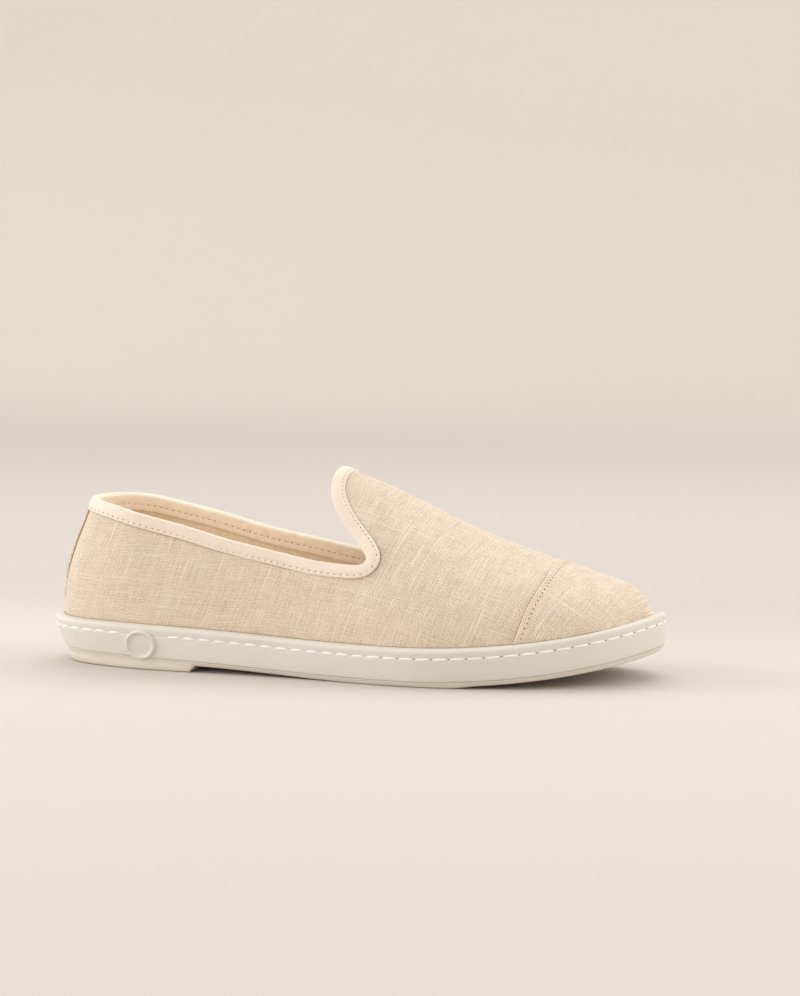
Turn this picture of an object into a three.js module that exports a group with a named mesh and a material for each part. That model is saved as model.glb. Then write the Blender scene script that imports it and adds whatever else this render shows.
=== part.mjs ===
// Slip-on espadrille, right foot, empty and standing on its sole.
// Millimetres, Z up, floor at Z = 0, heel towards -X, toe towards +X, inner (medial) side of the foot at +Y.
// Everything is worked out from the heel's back (x = 0) and moved to the middle of the box at the end.
import * as THREE from "three";

// ---------------------------------------------------------------- named sizes
const LENGTH = 288;        // sole, heel to toe
const HEEL_RADIUS = 28;    // plan radius at the back of the heel
const TOE_RADIUS = 24;     // plan radius at the tip of the toe
const TIP_Y = 6.5;         // the tip sits towards the big toe
const SIDEWALL = 14.7;     // height of the sole's side wall
const RIM = 4.7;           // width of the sole's rim outside the upper
const CUP_FLOOR = 6.3;     // cup floor above the underside of the side wall
const FABRIC = 1.6;        // linen with its lining
const GAP = 0.3;           // between pieces that meet on a curve
const TUCK = 3;            // the upper's form starts this far under the rim
const SKIRT = 5;           // straight foot of the upper inside the cup
const CAP_CLOTH = 0.9;     // folded linen of the toe cap and heel strip
const TAPE_WIDTH = 5.2;    // binding, from the cloth's edge down the cloth
const TAPE_CLOTH = 0.9;    // binding's thickness
const BREAST_FOOT = 78.7, BREAST_TOP = 81.2, BREAST_HEIGHT = 3.1; // front face of the heel block
const BALL_START = 158, BALL_END = 203;   // flat under the ball of the foot
const SOLE_LAYER = 2.3;    // outsole thickness forward of the heel block

// ---------------------------------------------------------------- short tables
const SOLE = [ // sole's outline at the rim
  { x: 22, lateral: -27.4, medial: 28.2 },
  { x: 50, lateral: -34.0, medial: 32.8 },
  { x: 90, lateral: -37.2, medial: 32.0 },
  { x: 130, lateral: -41.5, medial: 32.6 },
  { x: 165, lateral: -48.0, medial: 38.3 },
  { x: 195, lateral: -51.0, medial: 45.3 },
  { x: 220, lateral: -47.7, medial: 48.4 },
  { x: 245, lateral: -40.8, medial: 45.9 },
  { x: 265, lateral: -30.7, medial: 38.4 },
  { x: 279, lateral: -17.3, medial: 27.6 },
];
const SPRING = [ // underside of the side wall: heel, arch, ball and toe spring
  { x: 0, z: 6.9 }, { x: 57, z: 5.9 }, { x: 100, z: 4.4 }, { x: 140, z: 2.8 }, { x: 165, z: 2.45 },
  { x: 195, z: 2.55 }, { x: 215, z: 3.4 }, { x: 245, z: 6.4 }, { x: 270, z: 10.7 }, { x: 288, z: 15.1 },
];
const UNDERCUT = [ // side wall leans in towards the floor
  { x: 0, inset: 4.6 }, { x: 18, inset: 2.9 }, { x: 42, inset: 1.2 }, { x: 140, inset: 1.0 },
  { x: 240, inset: 1.0 }, { x: 288, inset: 0.1 },
];
const INSTEP = [ // cross-sections of the foot's form: ridge, how high the sides stand, how broad the top is
  { x: 50, ridge: 118, y: 0, rise: 0.62, crown: 0.62, bulge: 1.0 },
  { x: 90, ridge: 104, y: 0, rise: 0.55, crown: 0.6, bulge: 1.0 },
  { x: 120, ridge: 97, y: 0, rise: 0.5, crown: 0.58, bulge: 1.2 },
  { x: 138, ridge: 91.8, y: 0.2, rise: 0.47, crown: 0.57, bulge: 1.4 },
  { x: 160, ridge: 84.5, y: 0.8, rise: 0.46, crown: 0.57, bulge: 1.6 },
  { x: 185, ridge: 72.9, y: 1.8, rise: 0.46, crown: 0.57, bulge: 2.0 },
  { x: 205, ridge: 64.1, y: 2.8, rise: 0.47, crown: 0.58, bulge: 2.2 },
  { x: 225, ridge: 56.6, y: 3.8, rise: 0.5, crown: 0.56, bulge: 2.2 },
  { x: 245, ridge: 49.5, y: 5.0, rise: 0.53, crown: 0.58, bulge: 1.8 },
  { x: 262, ridge: 43.7, y: 5.8, rise: 0.56, crown: 0.6, bulge: 1.3 },
  { x: 275, ridge: 38.3, y: 6.3, rise: 0.58, crown: 0.6, bulge: 0.8 },
];
const NOSE_START = 205, NOSE_BULK = 38; // where the toe begins to round down, and how full its tip is
const HEEL_JOIN = 50;      // forward end of the heel cup's form
const HEEL_BACK = [ // back of the heel, seen from the side
  { z: 13, x: 4.7 }, { z: 23, x: 4.5 }, { z: 31, x: 5.0 }, { z: 41, x: 6.6 }, { z: 51, x: 9.9 },
  { z: 62.7, x: 14.8 }, { z: 72, x: 18.7 }, { z: 80, x: 21.3 },
];
const OPENING = [ // cloth's edge round the collar and throat, lateral side, from the heel to the peak of the tongue
  { x: 20.5, z: 75.1 }, { x: 30, z: 74.1 }, { x: 38, z: 72.6 }, { x: 44, z: 71.25 }, { x: 47.5, z: 70.43 },
  { x: 49.6, z: 69.94 }, { x: 50.4, z: 69.76 }, { x: 52.5, z: 69.29 }, { x: 56, z: 68.54 }, { x: 63, z: 67.05 }, { x: 72, z: 65.1 },
  { x: 92, z: 60.0 }, { x: 112, z: 55.9 }, { x: 132, z: 52.2 }, { x: 148, z: 50.4 }, { x: 157.5, z: 50.1 },
  { x: 162.6, z: 51.2 }, { x: 164.1, z: 53.6 }, { x: 162.9, z: 56.5 }, { x: 157.7, z: 62.0 }, { x: 149.7, z: 70.1 },
  { x: 144.0, z: 77.6 }, { x: 141.2, z: 84.2 },
];
const OPENING_BACK_Z = 75.2, PEAK_X = 141.0, MEDIAL_LIFT = 1.3; // ends of that edge; the inner side stands a little higher
const HEEL_STRIP = [ // strip up the back seam
  { z: 24, half: 2.9 }, { z: 35, half: 3.9 }, { z: 45, half: 6.0 }, { z: 55, half: 8.1 }, { z: 64, half: 9.1 }, { z: 70, half: 9.5 },
];
const CAP_SEAM_X = 241.5, CAP_SEAM_SWEEP = 9.6; // toe cap's edge on the ridge, and how far it sweeps back at the rim

// ---------------------------------------------------------------- helpers
const clamp = (v, a, b) => Math.min(b, Math.max(a, v));
const lerp = (a, b, t) => a + (b - a) * t;
const smooth = (a, b, v) => { const t = clamp((v - a) / (b - a), 0, 1); return t * t * (3 - 2 * t); };
const column = (rows, a, b) => rows.map((r) => [r[a], r[b]]);

// natural cubic spline through [input, output] pairs, straight beyond its ends
function spline(pairs) {
  const n = pairs.length, x = pairs.map((p) => p[0]), y = pairs.map((p) => p[1]);
  const h = x.slice(1).map((v, i) => v - x[i]), c = Array(n).fill(1), d = Array(n).fill(0), a = Array(n).fill(0), b = Array(n).fill(0);
  for (let i = 1; i < n - 1; i++) {
    a[i] = h[i - 1]; c[i] = 2 * (h[i - 1] + h[i]); b[i] = h[i];
    d[i] = 6 * ((y[i + 1] - y[i]) / h[i] - (y[i] - y[i - 1]) / h[i - 1]);
  }
  for (let i = 1; i < n; i++) { const w = a[i] / c[i - 1]; c[i] -= w * b[i - 1]; d[i] -= w * d[i - 1]; }
  const m = Array(n).fill(0);
  for (let i = n - 2; i > 0; i--) m[i] = (d[i] - b[i] * m[i + 1]) / c[i];
  return (t) => {
    if (t < x[0]) return y[0] + (t - x[0]) * ((y[1] - y[0]) / h[0] - h[0] * m[1] / 6);
    if (t > x[n - 1]) return y[n - 1] + (t - x[n - 1]) * ((y[n - 1] - y[n - 2]) / h[n - 2] + h[n - 2] * m[n - 2] / 6);
    let i = 0; while (i < n - 2 && t > x[i + 1]) i++;
    const A = (x[i + 1] - t) / h[i], B = 1 - A;
    return A * y[i] + B * y[i + 1] + ((A * A * A - A) * m[i] + (B * B * B - B) * m[i + 1]) * h[i] * h[i] / 6;
  };
}
const sub = (a, b) => [a[0] - b[0], a[1] - b[1], a[2] - b[2]];
const add = (a, b, k = 1) => [a[0] + b[0] * k, a[1] + b[1] * k, a[2] + b[2] * k];
const dot = (a, b) => a[0] * b[0] + a[1] * b[1] + a[2] * b[2];
const cross = (a, b) => [a[1] * b[2] - a[2] * b[1], a[2] * b[0] - a[0] * b[2], a[0] * b[1] - a[1] * b[0]];
const unit = (a) => { const l = Math.hypot(...a) || 1; return [a[0] / l, a[1] / l, a[2] / l]; };
const dist = (a, b) => Math.hypot(...sub(a, b));

// ---------------------------------------------------------------- sole's outline
const closing = (x) => Math.sqrt(Math.max(4 * x * (LENGTH - x), 0)) / LENGTH;
const middle = spline([[0, 0.4], ...SOLE.map((r) => [r.x, (r.lateral + r.medial) / 2]), [LENGTH, TIP_Y]]);
const breadth = spline([
  [0, Math.sqrt(HEEL_RADIUS * LENGTH / 2)],
  ...SOLE.map((r) => [r.x, (r.medial - r.lateral) / 2 / closing(r.x)]),
  [LENGTH, Math.sqrt(TOE_RADIUS * LENGTH / 2)],
]);
const spring = spline(column(SPRING, "x", "z"));
const rimTop = (x) => spring(x) + SIDEWALL;
const undercut = spline(column(UNDERCUT, "x", "inset"));
const rimWidth = (x) => RIM + 1.8 * smooth(262, 286, x); // broader shelf at the toe
function outlinePoint(turn, side, inset) { // turn: 0 at the heel, PI at the toe; side: -1 lateral, +1 medial
  const at = (p) => { const x = LENGTH / 2 * (1 - Math.cos(p)); return [x, middle(x) + side * Math.sin(p) * breadth(x)]; };
  const [x, y] = at(turn), [xa, ya] = at(turn - 1e-4), [xb, yb] = at(turn + 1e-4);
  const l = Math.hypot(xb - xa, yb - ya), d = inset(x);
  return [x + side * (yb - ya) / l * d, y - side * (xb - xa) / l * d];
}
class Outline { // outline moved in by inset(x); y(x, side) reads it at a station
  constructor(inset) {
    this.rows = {};
    for (const side of [-1, 1]) this.rows[side] = Array.from({ length: 1201 }, (_, i) => outlinePoint(Math.PI * i / 1200, side, inset));
    this.start = this.rows[1][0][0]; this.end = this.rows[1][1200][0];
  }
  locate(x, side) {
    const r = this.rows[side]; let lo = 0, hi = 1200;
    while (hi - lo > 1) { const m = (lo + hi) >> 1; if (r[m][0] <= x) lo = m; else hi = m; }
    return [lo, clamp((x - r[lo][0]) / (r[hi][0] - r[lo][0] || 1), 0, 1)];
  }
  y(x, side) { const [i, t] = this.locate(x, side), r = this.rows[side]; return lerp(r[i][1], r[i + 1][1], t); }
  turn(x, side) { const [i, t] = this.locate(x, side); return (i + t) / 1200; }
  at(turn, side) { const f = clamp(turn, 0, 1) * 1200, i = Math.min(1199, Math.floor(f)), r = this.rows[side]; return [lerp(r[i][0], r[i + 1][0], f - i), lerp(r[i][1], r[i + 1][1], f - i)]; }
}

// ---------------------------------------------------------------- closed solids
class Solid {
  constructor() { this.points = []; this.faces = []; this.seen = new Map(); }
  point(p) {
    const key = p.map((v) => Math.round(v * 5000)).join();
    if (!this.seen.has(key)) { this.seen.set(key, this.points.length); this.points.push(p); }
    return this.seen.get(key);
  }
  face(a, b, c) { if (a !== b && b !== c && a !== c) this.faces.push([a, b, c]); }
  quad(a, b, c, d) { // split along the shorter diagonal
    if (dist(this.points[a], this.points[c]) <= dist(this.points[b], this.points[d])) { this.face(a, b, c); this.face(a, c, d); }
    else { this.face(a, b, d); this.face(b, c, d); }
  }
  grid(rows) { for (let i = 0; i + 1 < rows.length; i++) for (let j = 0; j + 1 < rows[i].length; j++) this.quad(rows[i][j], rows[i + 1][j], rows[i + 1][j + 1], rows[i][j + 1]); }
  normals() {
    const n = this.points.map(() => [0, 0, 0]);
    for (const f of this.faces) {
      const [a, b, c] = f.map((i) => this.points[i]);
      f.forEach((i, k) => { // weighted by the corner's angle
        const p = [a, b, c][k], q = [b, c, a][k], r = [c, a, b][k], u = unit(sub(q, p)), w = unit(sub(r, p));
        n[i] = add(n[i], unit(cross(sub(b, a), sub(c, a))), Math.acos(clamp(dot(u, w), -1, 1)));
      });
    }
    return n.map(unit);
  }
  faceAway() { // turn a sheet's faces away from the middle of the shoe
    const turn = this.faces.reduce((t, [a, b, c]) => { const [p, q, r] = [a, b, c].map((i) => this.points[i]); return t + dot(cross(sub(q, p), sub(r, p)), sub(p, [140, 0, 30])); }, 0);
    if (turn < 0) this.faces = this.faces.map(([a, b, c]) => [a, c, b]);
  }
  // sheet -> closed wall between two offsets along its normals
  thicken(outer, inner) {
    const n = this.normals(), p = this.points, out = new Solid(), count = p.length;
    out.points = [...p.map((q, i) => add(q, n[i], outer)), ...p.map((q, i) => add(q, n[i], inner))];
    const edges = new Map();
    for (const [a, b, c] of this.faces) {
      out.faces.push([a, b, c], [a + count, c + count, b + count]);
      for (const [u, v] of [[a, b], [b, c], [c, a]]) edges.set(`${u},${v}`, [u, v]);
    }
    for (const [u, v] of edges.values()) if (!edges.has(`${v},${u}`)) out.faces.push([v, u, u + count], [v, u + count, v + count]);
    return out;
  }
  volume() { return this.faces.reduce((s, [a, b, c]) => s + dot(this.points[a], cross(this.points[b], this.points[c])), 0) / 6; }
  geometry() {
    if (this.volume() < 0) this.faces = this.faces.map(([a, b, c]) => [a, c, b]);
    const g = new THREE.BufferGeometry();
    g.setAttribute("position", new THREE.Float32BufferAttribute(this.points.flat(), 3));
    g.setIndex(this.faces.flat());
    g.computeVertexNormals();
    return g;
  }
}

// rings of one outline each, stacked from the first to the last and closed across both
const HEEL_STATIONS = 12, FORE_STATIONS = 22;
function stations(outline) {
  const xs = [];
  for (let i = 0; i <= HEEL_STATIONS; i++) xs.push(lerp(BREAST_FOOT, outline.start, Math.cos(i / HEEL_STATIONS * Math.PI / 2)));
  for (let i = 0; i <= FORE_STATIONS; i++) xs.push(lerp(BREAST_TOP, outline.end, Math.sin(i / FORE_STATIONS * Math.PI / 2)));
  return xs;
}
function stack(levels) {
  const s = new Solid();
  const rings = levels.map(({ inset, z }) => {
    const o = new Outline(typeof inset === "number" ? () => inset : inset), xs = stations(o), n = xs.length - 1;
    const lat = xs.map((x, i) => s.point([x, i === 0 || i === n ? middle(i ? LENGTH : 0) : o.y(x, -1), z(x)]));
    const med = xs.map((x, i) => (i === 0 || i === n ? lat[i] : s.point([x, o.y(x, 1), z(x)])));
    return { lat, med, loop: [...lat, ...med.slice(1, -1).reverse(), lat[0]] };
  });
  s.grid(rings.map((r) => r.loop));
  const close = (r, up) => { for (let i = 0; i + 1 < r.lat.length; i++) { const q = [r.lat[i], r.lat[i + 1], r.med[i + 1], r.med[i]]; s.quad(...(up ? q : q.reverse())); } };
  close(rings[0], true); close(rings[rings.length - 1], false);
  return s;
}

const cupSole = stack([
  { inset: (x) => undercut(x) + 0.5, z: spring },
  { inset: (x) => undercut(x), z: (x) => spring(x) + 0.6 },
  { inset: (x) => undercut(x) * 0.55, z: (x) => spring(x) + 4.6 },
  { inset: (x) => undercut(x) * 0.12 + 0.1, z: (x) => spring(x) + 9.4 },
  { inset: 0.1, z: (x) => rimTop(x) - 2.4 },
  { inset: 0.5, z: (x) => rimTop(x) - 1.1 },
  { inset: (x) => rimWidth(x) * 0.34, z: (x) => rimTop(x) - 0.3 },
  { inset: (x) => rimWidth(x) - 0.55, z: (x) => rimTop(x) + 0.1 },
  { inset: (x) => rimWidth(x) - 0.55, z: (x) => spring(x) + CUP_FLOOR },
]);

// outsole: heel block, breast, arch, flat ball, toe spring
function underside(x) {
  if (x <= BREAST_FOOT) return 0;
  const layer = Math.max(0, spring(x) - SOLE_LAYER);
  const arch = lerp(BREAST_HEIGHT, 0, smooth(BREAST_TOP - 12, BALL_START + 4, x));
  if (x < BALL_START) return Math.max(arch, 0);
  return x <= BALL_END ? 0 : layer * smooth(BALL_END, BALL_END + 14, x);
}
const heelTuck = (x) => 1.9 * (1 - smooth(5, 60, x)); // back of the heel block rounds further in
const outsole = stack([
  { inset: (x) => undercut(x) + heelTuck(x) + 2.6, z: (x) => underside(x) },
  { inset: (x) => undercut(x) + heelTuck(x) * 0.6 + 1.7, z: (x) => underside(x) + 0.7 },
  { inset: (x) => undercut(x) + 1.0, z: (x) => spring(x) - GAP },
]);

// footbed inside the cloth's foot
const insole = stack([
  { inset: (x) => rimWidth(x) + FABRIC + 1.2, z: (x) => spring(x) + CUP_FLOOR + GAP },
  { inset: (x) => rimWidth(x) + FABRIC + 0.8, z: (x) => spring(x) + CUP_FLOOR + GAP + 0.8 },
  { inset: (x) => rimWidth(x) + FABRIC + 0.8, z: (x) => spring(x) + CUP_FLOOR + 3.6 },
  { inset: (x) => rimWidth(x) + FABRIC + 1.8, z: (x) => spring(x) + CUP_FLOOR + 4.3 },
]);

// ---------------------------------------------------------------- form of the upper
const foot = new Outline(rimWidth);
const footZ = (x) => rimTop(x) - TUCK;
const noseX = foot.end, heelX = foot.start;
const nose = (x) => Math.sqrt(Math.max(0, 1 - Math.max(0, (x - NOSE_START) / (noseX - NOSE_START)) ** 2));
const instep = Object.fromEntries(["y", "rise", "crown", "bulge"].map((k) => [k, spline(column(INSTEP, "x", k))]));
const height = spline([...INSTEP.map((r) => [r.x, (r.ridge - footZ(r.x)) / nose(r.x)]), [noseX, NOSE_BULK]]);
const bezier = (a, b, c, d, t) => a * (1 - t) ** 3 + 3 * b * t * (1 - t) ** 2 + 3 * c * t * t * (1 - t) + d * t ** 3;
// cross-section at x: v = 0 lateral foot, 0.5 ridge, 1 medial foot
function section(x, v) {
  const side = v < 0.5 ? -1 : 1, t = v < 0.5 ? 2 * v : 2 * (1 - v);
  const yl = foot.y(x, -1), ym = foot.y(x, 1), start = side < 0 ? yl : ym, base = footZ(x), tall = height(x) * nose(x);
  const wide = ym - yl, small = clamp(wide / 60, 0, 1), top = clamp(instep.y(x), yl + 0.3 * wide, ym - 0.3 * wide);
  return [x,
    bezier(start, start + side * instep.bulge(x) * small, top + side * instep.crown(x) * wide / 2, top, t),
    base + bezier(0, instep.rise(x) * tall, tall, tall, t)];
}
function bisect(f, lo, hi, target) { for (let i = 0; i < 44; i++) { const m = (lo + hi) / 2; if (f(m) < target) lo = m; else hi = m; } return (lo + hi) / 2; }
const heelBack = spline(column(HEEL_BACK, "z", "x"));
const joinTurn = { [-1]: foot.turn(HEEL_JOIN, -1), 1: foot.turn(HEEL_JOIN, 1) };
const backY = middle(0);
// whole form: p = station from the heel (0) to the nose, v as above; below the foot it drops straight
function form(p, v) {
  if (p < 0) return form(-p, 1 - v);
  if (v < 0) { const q = form(p, 0); return [q[0], q[1], q[2] + v * 100]; }
  if (v > 1) { const q = form(p, 1); return [q[0], q[1], q[2] - (v - 1) * 100]; }
  if (p >= HEEL_JOIN) return section(Math.min(p, noseX), v);
  const side = v < 0.5 ? -1 : 1, wall = section(HEEL_JOIN, v);
  const [bx, by] = foot.at(p / HEEL_JOIN * joinTurn[side], side), ey = foot.y(HEEL_JOIN, side);
  const x = lerp(heelBack(wall[2]), HEEL_JOIN, (bx - heelX) / (HEEL_JOIN - heelX));
  const drop = footZ(x) - footZ(HEEL_JOIN);
  return [x, backY + (by - backY) / (ey - backY) * (wall[1] - backY), wall[2] + drop * (1 - smooth(0, 30, wall[2] - footZ(HEEL_JOIN)))];
}
// v on one side where the form reaches height z at station p
const reach = (p, z, side) => (side < 0 ? bisect((v) => form(p, v)[2], 0, 0.5, z) : 1 - bisect((v) => form(p, 1 - v)[2], 0, 0.5, z));
// station whose point at height z stands at x
function stationOf(x, z, side) {
  if (x >= HEEL_JOIN) return x;
  return bisect((p) => form(p, reach(p, z, side))[0], 0, HEEL_JOIN, x);
}

// ---------------------------------------------------------------- edge of the opening
function edgeRows(side) {
  const lift = (x) => (side > 0 ? MEDIAL_LIFT * smooth(15, 45, x) * (1 - smooth(120, 150, x)) : 0);
  return [[0, reach(0, OPENING_BACK_Z, side)], ...OPENING.slice(1).map((r) => { const z = r.z + lift(r.x), p = stationOf(r.x, z, side); return [p, reach(p, z, side)]; })];
}
const lateralRows = edgeRows(-1), medialRows = edgeRows(1);
const edgeKnots = [
  [-lateralRows[1][0], lateralRows[1][1]], ...lateralRows, [PEAK_X, 0.5], ...[...medialRows].reverse(), [-medialRows[1][0], medialRows[1][1]],
];
const knotU = [0];
for (let i = 1; i < edgeKnots.length; i++) knotU.push(knotU[i - 1] + dist(form(Math.abs(edgeKnots[i][0]), edgeKnots[i][1]), form(Math.abs(edgeKnots[i - 1][0]), edgeKnots[i - 1][1])) * 1 || knotU[i - 1] + 1);
knotU[0] = -(dist(form(0, lateralRows[0][1]), form(lateralRows[1][0], lateralRows[1][1])) - knotU[1]);
const edgeP = spline(edgeKnots.map((k, i) => [knotU[i], k[0]])), edgeV = spline(edgeKnots.map((k, i) => [knotU[i], k[1]]));
const uBack = knotU[1], uPeak = knotU[lateralRows.length + 1], uEnd = knotU[knotU.length - 2];
function furthest(a, b) { for (let i = 0; i < 60; i++) { const m1 = lerp(a, b, 1 / 3), m2 = lerp(a, b, 2 / 3); if (edgeP(m1) < edgeP(m2)) a = m1; else b = m2; } return (a + b) / 2; }
const uLat = furthest(lerp(uBack, uPeak, 0.6), uPeak), uMed = furthest(uPeak, lerp(uEnd, uPeak, 0.6));
const COLLAR_STEPS = 28, THROAT_STEPS = 10;
const stride = spline([[0, 5], [0.3, 6], [0.6, 8.5], [0.8, 5], [1, 1.3]]); // closer together round the heel and near the corner
const strides = Array.from({ length: COLLAR_STEPS }, (_, i) => stride((i + 0.5) / COLLAR_STEPS));
const walked = strides.reduce((t, w) => [...t, t[t.length - 1] + w], [0]);
const ease = (f) => walked[Math.round(f * COLLAR_STEPS)] / walked[COLLAR_STEPS];
const easeUp = (f) => f ** 1.25;
function edgeRun(from, corner, peak) {
  const collar = Array.from({ length: COLLAR_STEPS + 1 }, (_, i) => lerp(from, corner, ease(i / COLLAR_STEPS)));
  const throat = Array.from({ length: THROAT_STEPS + 1 }, (_, i) => lerp(corner, peak, easeUp(i / THROAT_STEPS)));
  const at = (u) => [u === from ? 0 : edgeP(u), u === peak ? 0.5 : edgeV(u)];
  return { collar: collar.map(at), throat: throat.map(at) };
}
const lateral = edgeRun(uBack, uLat, uPeak), medial = edgeRun(uEnd, uMed, uPeak);

// ---------------------------------------------------------------- upper: one hollow wall, open above and below
const QUARTER_ROWS = 6, TONGUE_ROWS = 4, VAMP_STATIONS = 22;
function upperSheet() {
  const s = new Solid(), at = (p, v) => s.point(form(p, v)), foot0 = -SKIRT / 100;
  const corner = lateral.collar[COLLAR_STEPS], cornerM = medial.collar[COLLAR_STEPS];
  // both corners share one station so the vamp starts on a straight row
  const p0 = Math.max(corner[0], cornerM[0]);
  const levels = (top) => [foot0, ...Array.from({ length: QUARTER_ROWS + 1 }, (_, j) => top * j / QUARTER_ROWS)];
  s.grid(lateral.collar.map(([p, v], i) => levels(v).map((w) => at(i === COLLAR_STEPS ? p0 : p, w))));
  s.grid(medial.collar.map(([p, v], i) => levels(1 - v).map((w) => at(i === COLLAR_STEPS ? p0 : p, 1 - w))).reverse());
  // tongue, from the throat's edge forward to that row
  const throat = [...lateral.throat, ...[...medial.throat].reverse().slice(1)];
  throat[0] = [p0, corner[1]]; throat[throat.length - 1] = [p0, cornerM[1]];
  s.grid(Array.from({ length: TONGUE_ROWS + 1 }, (_, r) => throat.map(([p, v]) => at(lerp(p, p0, (r / TONGUE_ROWS) ** 1.0), v))));
  // vamp and toe
  const across = [...levels(corner[1]).slice(0, -1), ...throat.map((t) => t[1]), ...levels(1 - cornerM[1]).slice(0, -1).map((w) => 1 - w).reverse()];
  const n = across.length - 3;
  s.grid(Array.from({ length: VAMP_STATIONS + 1 }, (_, i) => {
    const f = i / VAMP_STATIONS, p = i === VAMP_STATIONS ? noseX : lerp(p0, noseX, Math.sin(f * Math.PI / 2));
    return across.map((v, j) => at(p, j === 0 || j === across.length - 1 ? v : lerp(v, (j - 1) / n, smooth(0, 0.7, f))));
  }));
  return s;
}
const sheet = upperSheet();
sheet.faceAway();
const upper = sheet.thicken(0, -FABRIC);

// ---------------------------------------------------------------- toe cap, lying on the vamp
const capFoot = (p, side) => reach(p, rimTop(p) + 0.4, side);
const capNose = bisect((p) => -(form(p, 0.5)[2] - rimTop(p) - 0.4), NOSE_START, noseX, 0);
function capSheet() {
  const s = new Solid(), ACROSS = 20, ALONG = 12;
  s.grid(Array.from({ length: ALONG + 1 }, (_, i) => Array.from({ length: ACROSS + 1 }, (_, j) => {
    const f = j / ACROSS, seam = CAP_SEAM_X - CAP_SEAM_SWEEP * Math.abs(2 * f - 1) ** 1.9;
    const p = i === ALONG ? capNose : lerp(seam, capNose, Math.sin(i / ALONG * Math.PI / 2));
    return s.point(i === ALONG ? form(p, 0.5) : form(p, lerp(capFoot(p, -1), capFoot(p, 1), f)));
  })));
  return s;
}
const cap = capSheet();
cap.faceAway();
const toeCap = cap.thicken(GAP + 0.05 + CAP_CLOTH, GAP + 0.05);

// ---------------------------------------------------------------- strip up the back seam
const stripHalf = spline(column(HEEL_STRIP, "z", "half"));
function stripSheet() {
  const s = new Solid(), ACROSS = 6, UP = 12;
  s.grid(Array.from({ length: UP + 1 }, (_, i) => Array.from({ length: ACROSS + 1 }, (_, j) => {
    const z = lerp(rimTop(3) + 0.6, OPENING_BACK_Z - TAPE_WIDTH - 0.6, i / UP), k = 2 * j / ACROSS - 1, y = backY + k * stripHalf(z), side = k < 0 ? -1 : 1;
    const p = k === 0 ? 0 : bisect((q) => Math.abs(form(q, reach(q, z, side))[1] - backY), 0, 20, Math.abs(y - backY));
    return s.point(form(p, reach(p, z, side)));
  })));
  return s;
}
const strip = stripSheet();
strip.faceAway();
const heelStrip = strip.thicken(GAP + 0.1 + CAP_CLOTH, GAP + 0.1);

// ---------------------------------------------------------------- binding folded over the edge
function frameAt(p, v) {
  const e = 0.02, ev = 0.0006, a = form(p - e, v), b = form(p + e, v), c = form(p, v - ev), d = form(p, v + ev);
  const dp = sub(b, a).map((k) => k / (2 * e)), dv = sub(d, c).map((k) => k / (2 * ev));
  return { at: form(p, v), dp, dv, n: unit(cross(dp, dv)) };
}
// walk a distance over the form from (p, v) in a 3-D direction
function walk(p, v, dir, length) {
  const steps = Math.max(1, Math.ceil(length / 0.7)), h = length / steps;
  let d = dir;
  for (let i = 0; i < steps; i++) {
    const f = frameAt(p, v); d = unit(add(d, f.n, -dot(d, f.n)));
    const a = dot(f.dp, f.dp), b = dot(f.dp, f.dv), c = dot(f.dv, f.dv), r = dot(f.dp, d), s = dot(f.dv, d), det = a * c - b * b;
    p += (r * c - s * b) / det * h; v += (a * s - b * r) / det * h;
    if (p < 0) { p = -p; v = 1 - v; }
  }
  return [p, v];
}
const loop = [...lateral.collar, ...lateral.throat.slice(1), ...[...medial.throat].reverse().slice(1), ...[...medial.collar].reverse().slice(1, -1)];
function bindingSolid() {
  const s = new Solid(), count = loop.length, points = loop.map(([p, v]) => form(p, v));
  const top = GAP + TAPE_CLOTH, in0 = -FABRIC - GAP, in1 = in0 - TAPE_CLOTH;
  const profile = [ // distance down the cloth, height over it
    [TAPE_WIDTH, GAP], [TAPE_WIDTH + 0.1, top - 0.1], [TAPE_WIDTH / 2, top + 0.1], [0, top], [-0.9, top - 0.55],
    [-1.25, -FABRIC / 2], [-0.9, in1 + 0.55], [0, in1], [TAPE_WIDTH / 2, in1 - 0.1], [TAPE_WIDTH + 0.1, in1 + 0.1],
    [TAPE_WIDTH, in0], [TAPE_WIDTH / 2, in0], [-0.35, in0], [-0.35, GAP], [TAPE_WIDTH / 2, GAP],
  ];
  const rows = loop.map(([p, v], i) => {
    const f = frameAt(p, v), n = dot(f.n, sub(f.at, [140, 0, 30])) < 0 ? f.n.map((k) => -k) : f.n;
    const tangent = unit(sub(points[(i + 1) % count], points[(i + count - 1) % count]));
    return { p, v, f, n, dir: unit(cross(tangent, n)) };
  });
  return s.ring(rows.map(({ p, v, f, n, dir }) => {
    return profile.map(([d, h]) => {
      if (d <= 0) return add(add(f.at, dir, d), n, h);
      const [q, w] = walk(p, v, dir, d), g = frameAt(q, w), m = dot(g.n, n) < 0 ? g.n.map((k) => -k) : g.n;
      return add(g.at, m, h);
    });
  }));
}
Solid.prototype.ring = function (rows) { // closed tube of closed profiles
  const ids = rows.map((r) => r.map((p) => this.point(p))), closed = ids.map((r) => [...r, r[0]]);
  this.grid([...closed, closed[0]]);
  return this;
};
const binding = bindingSolid();

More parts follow.
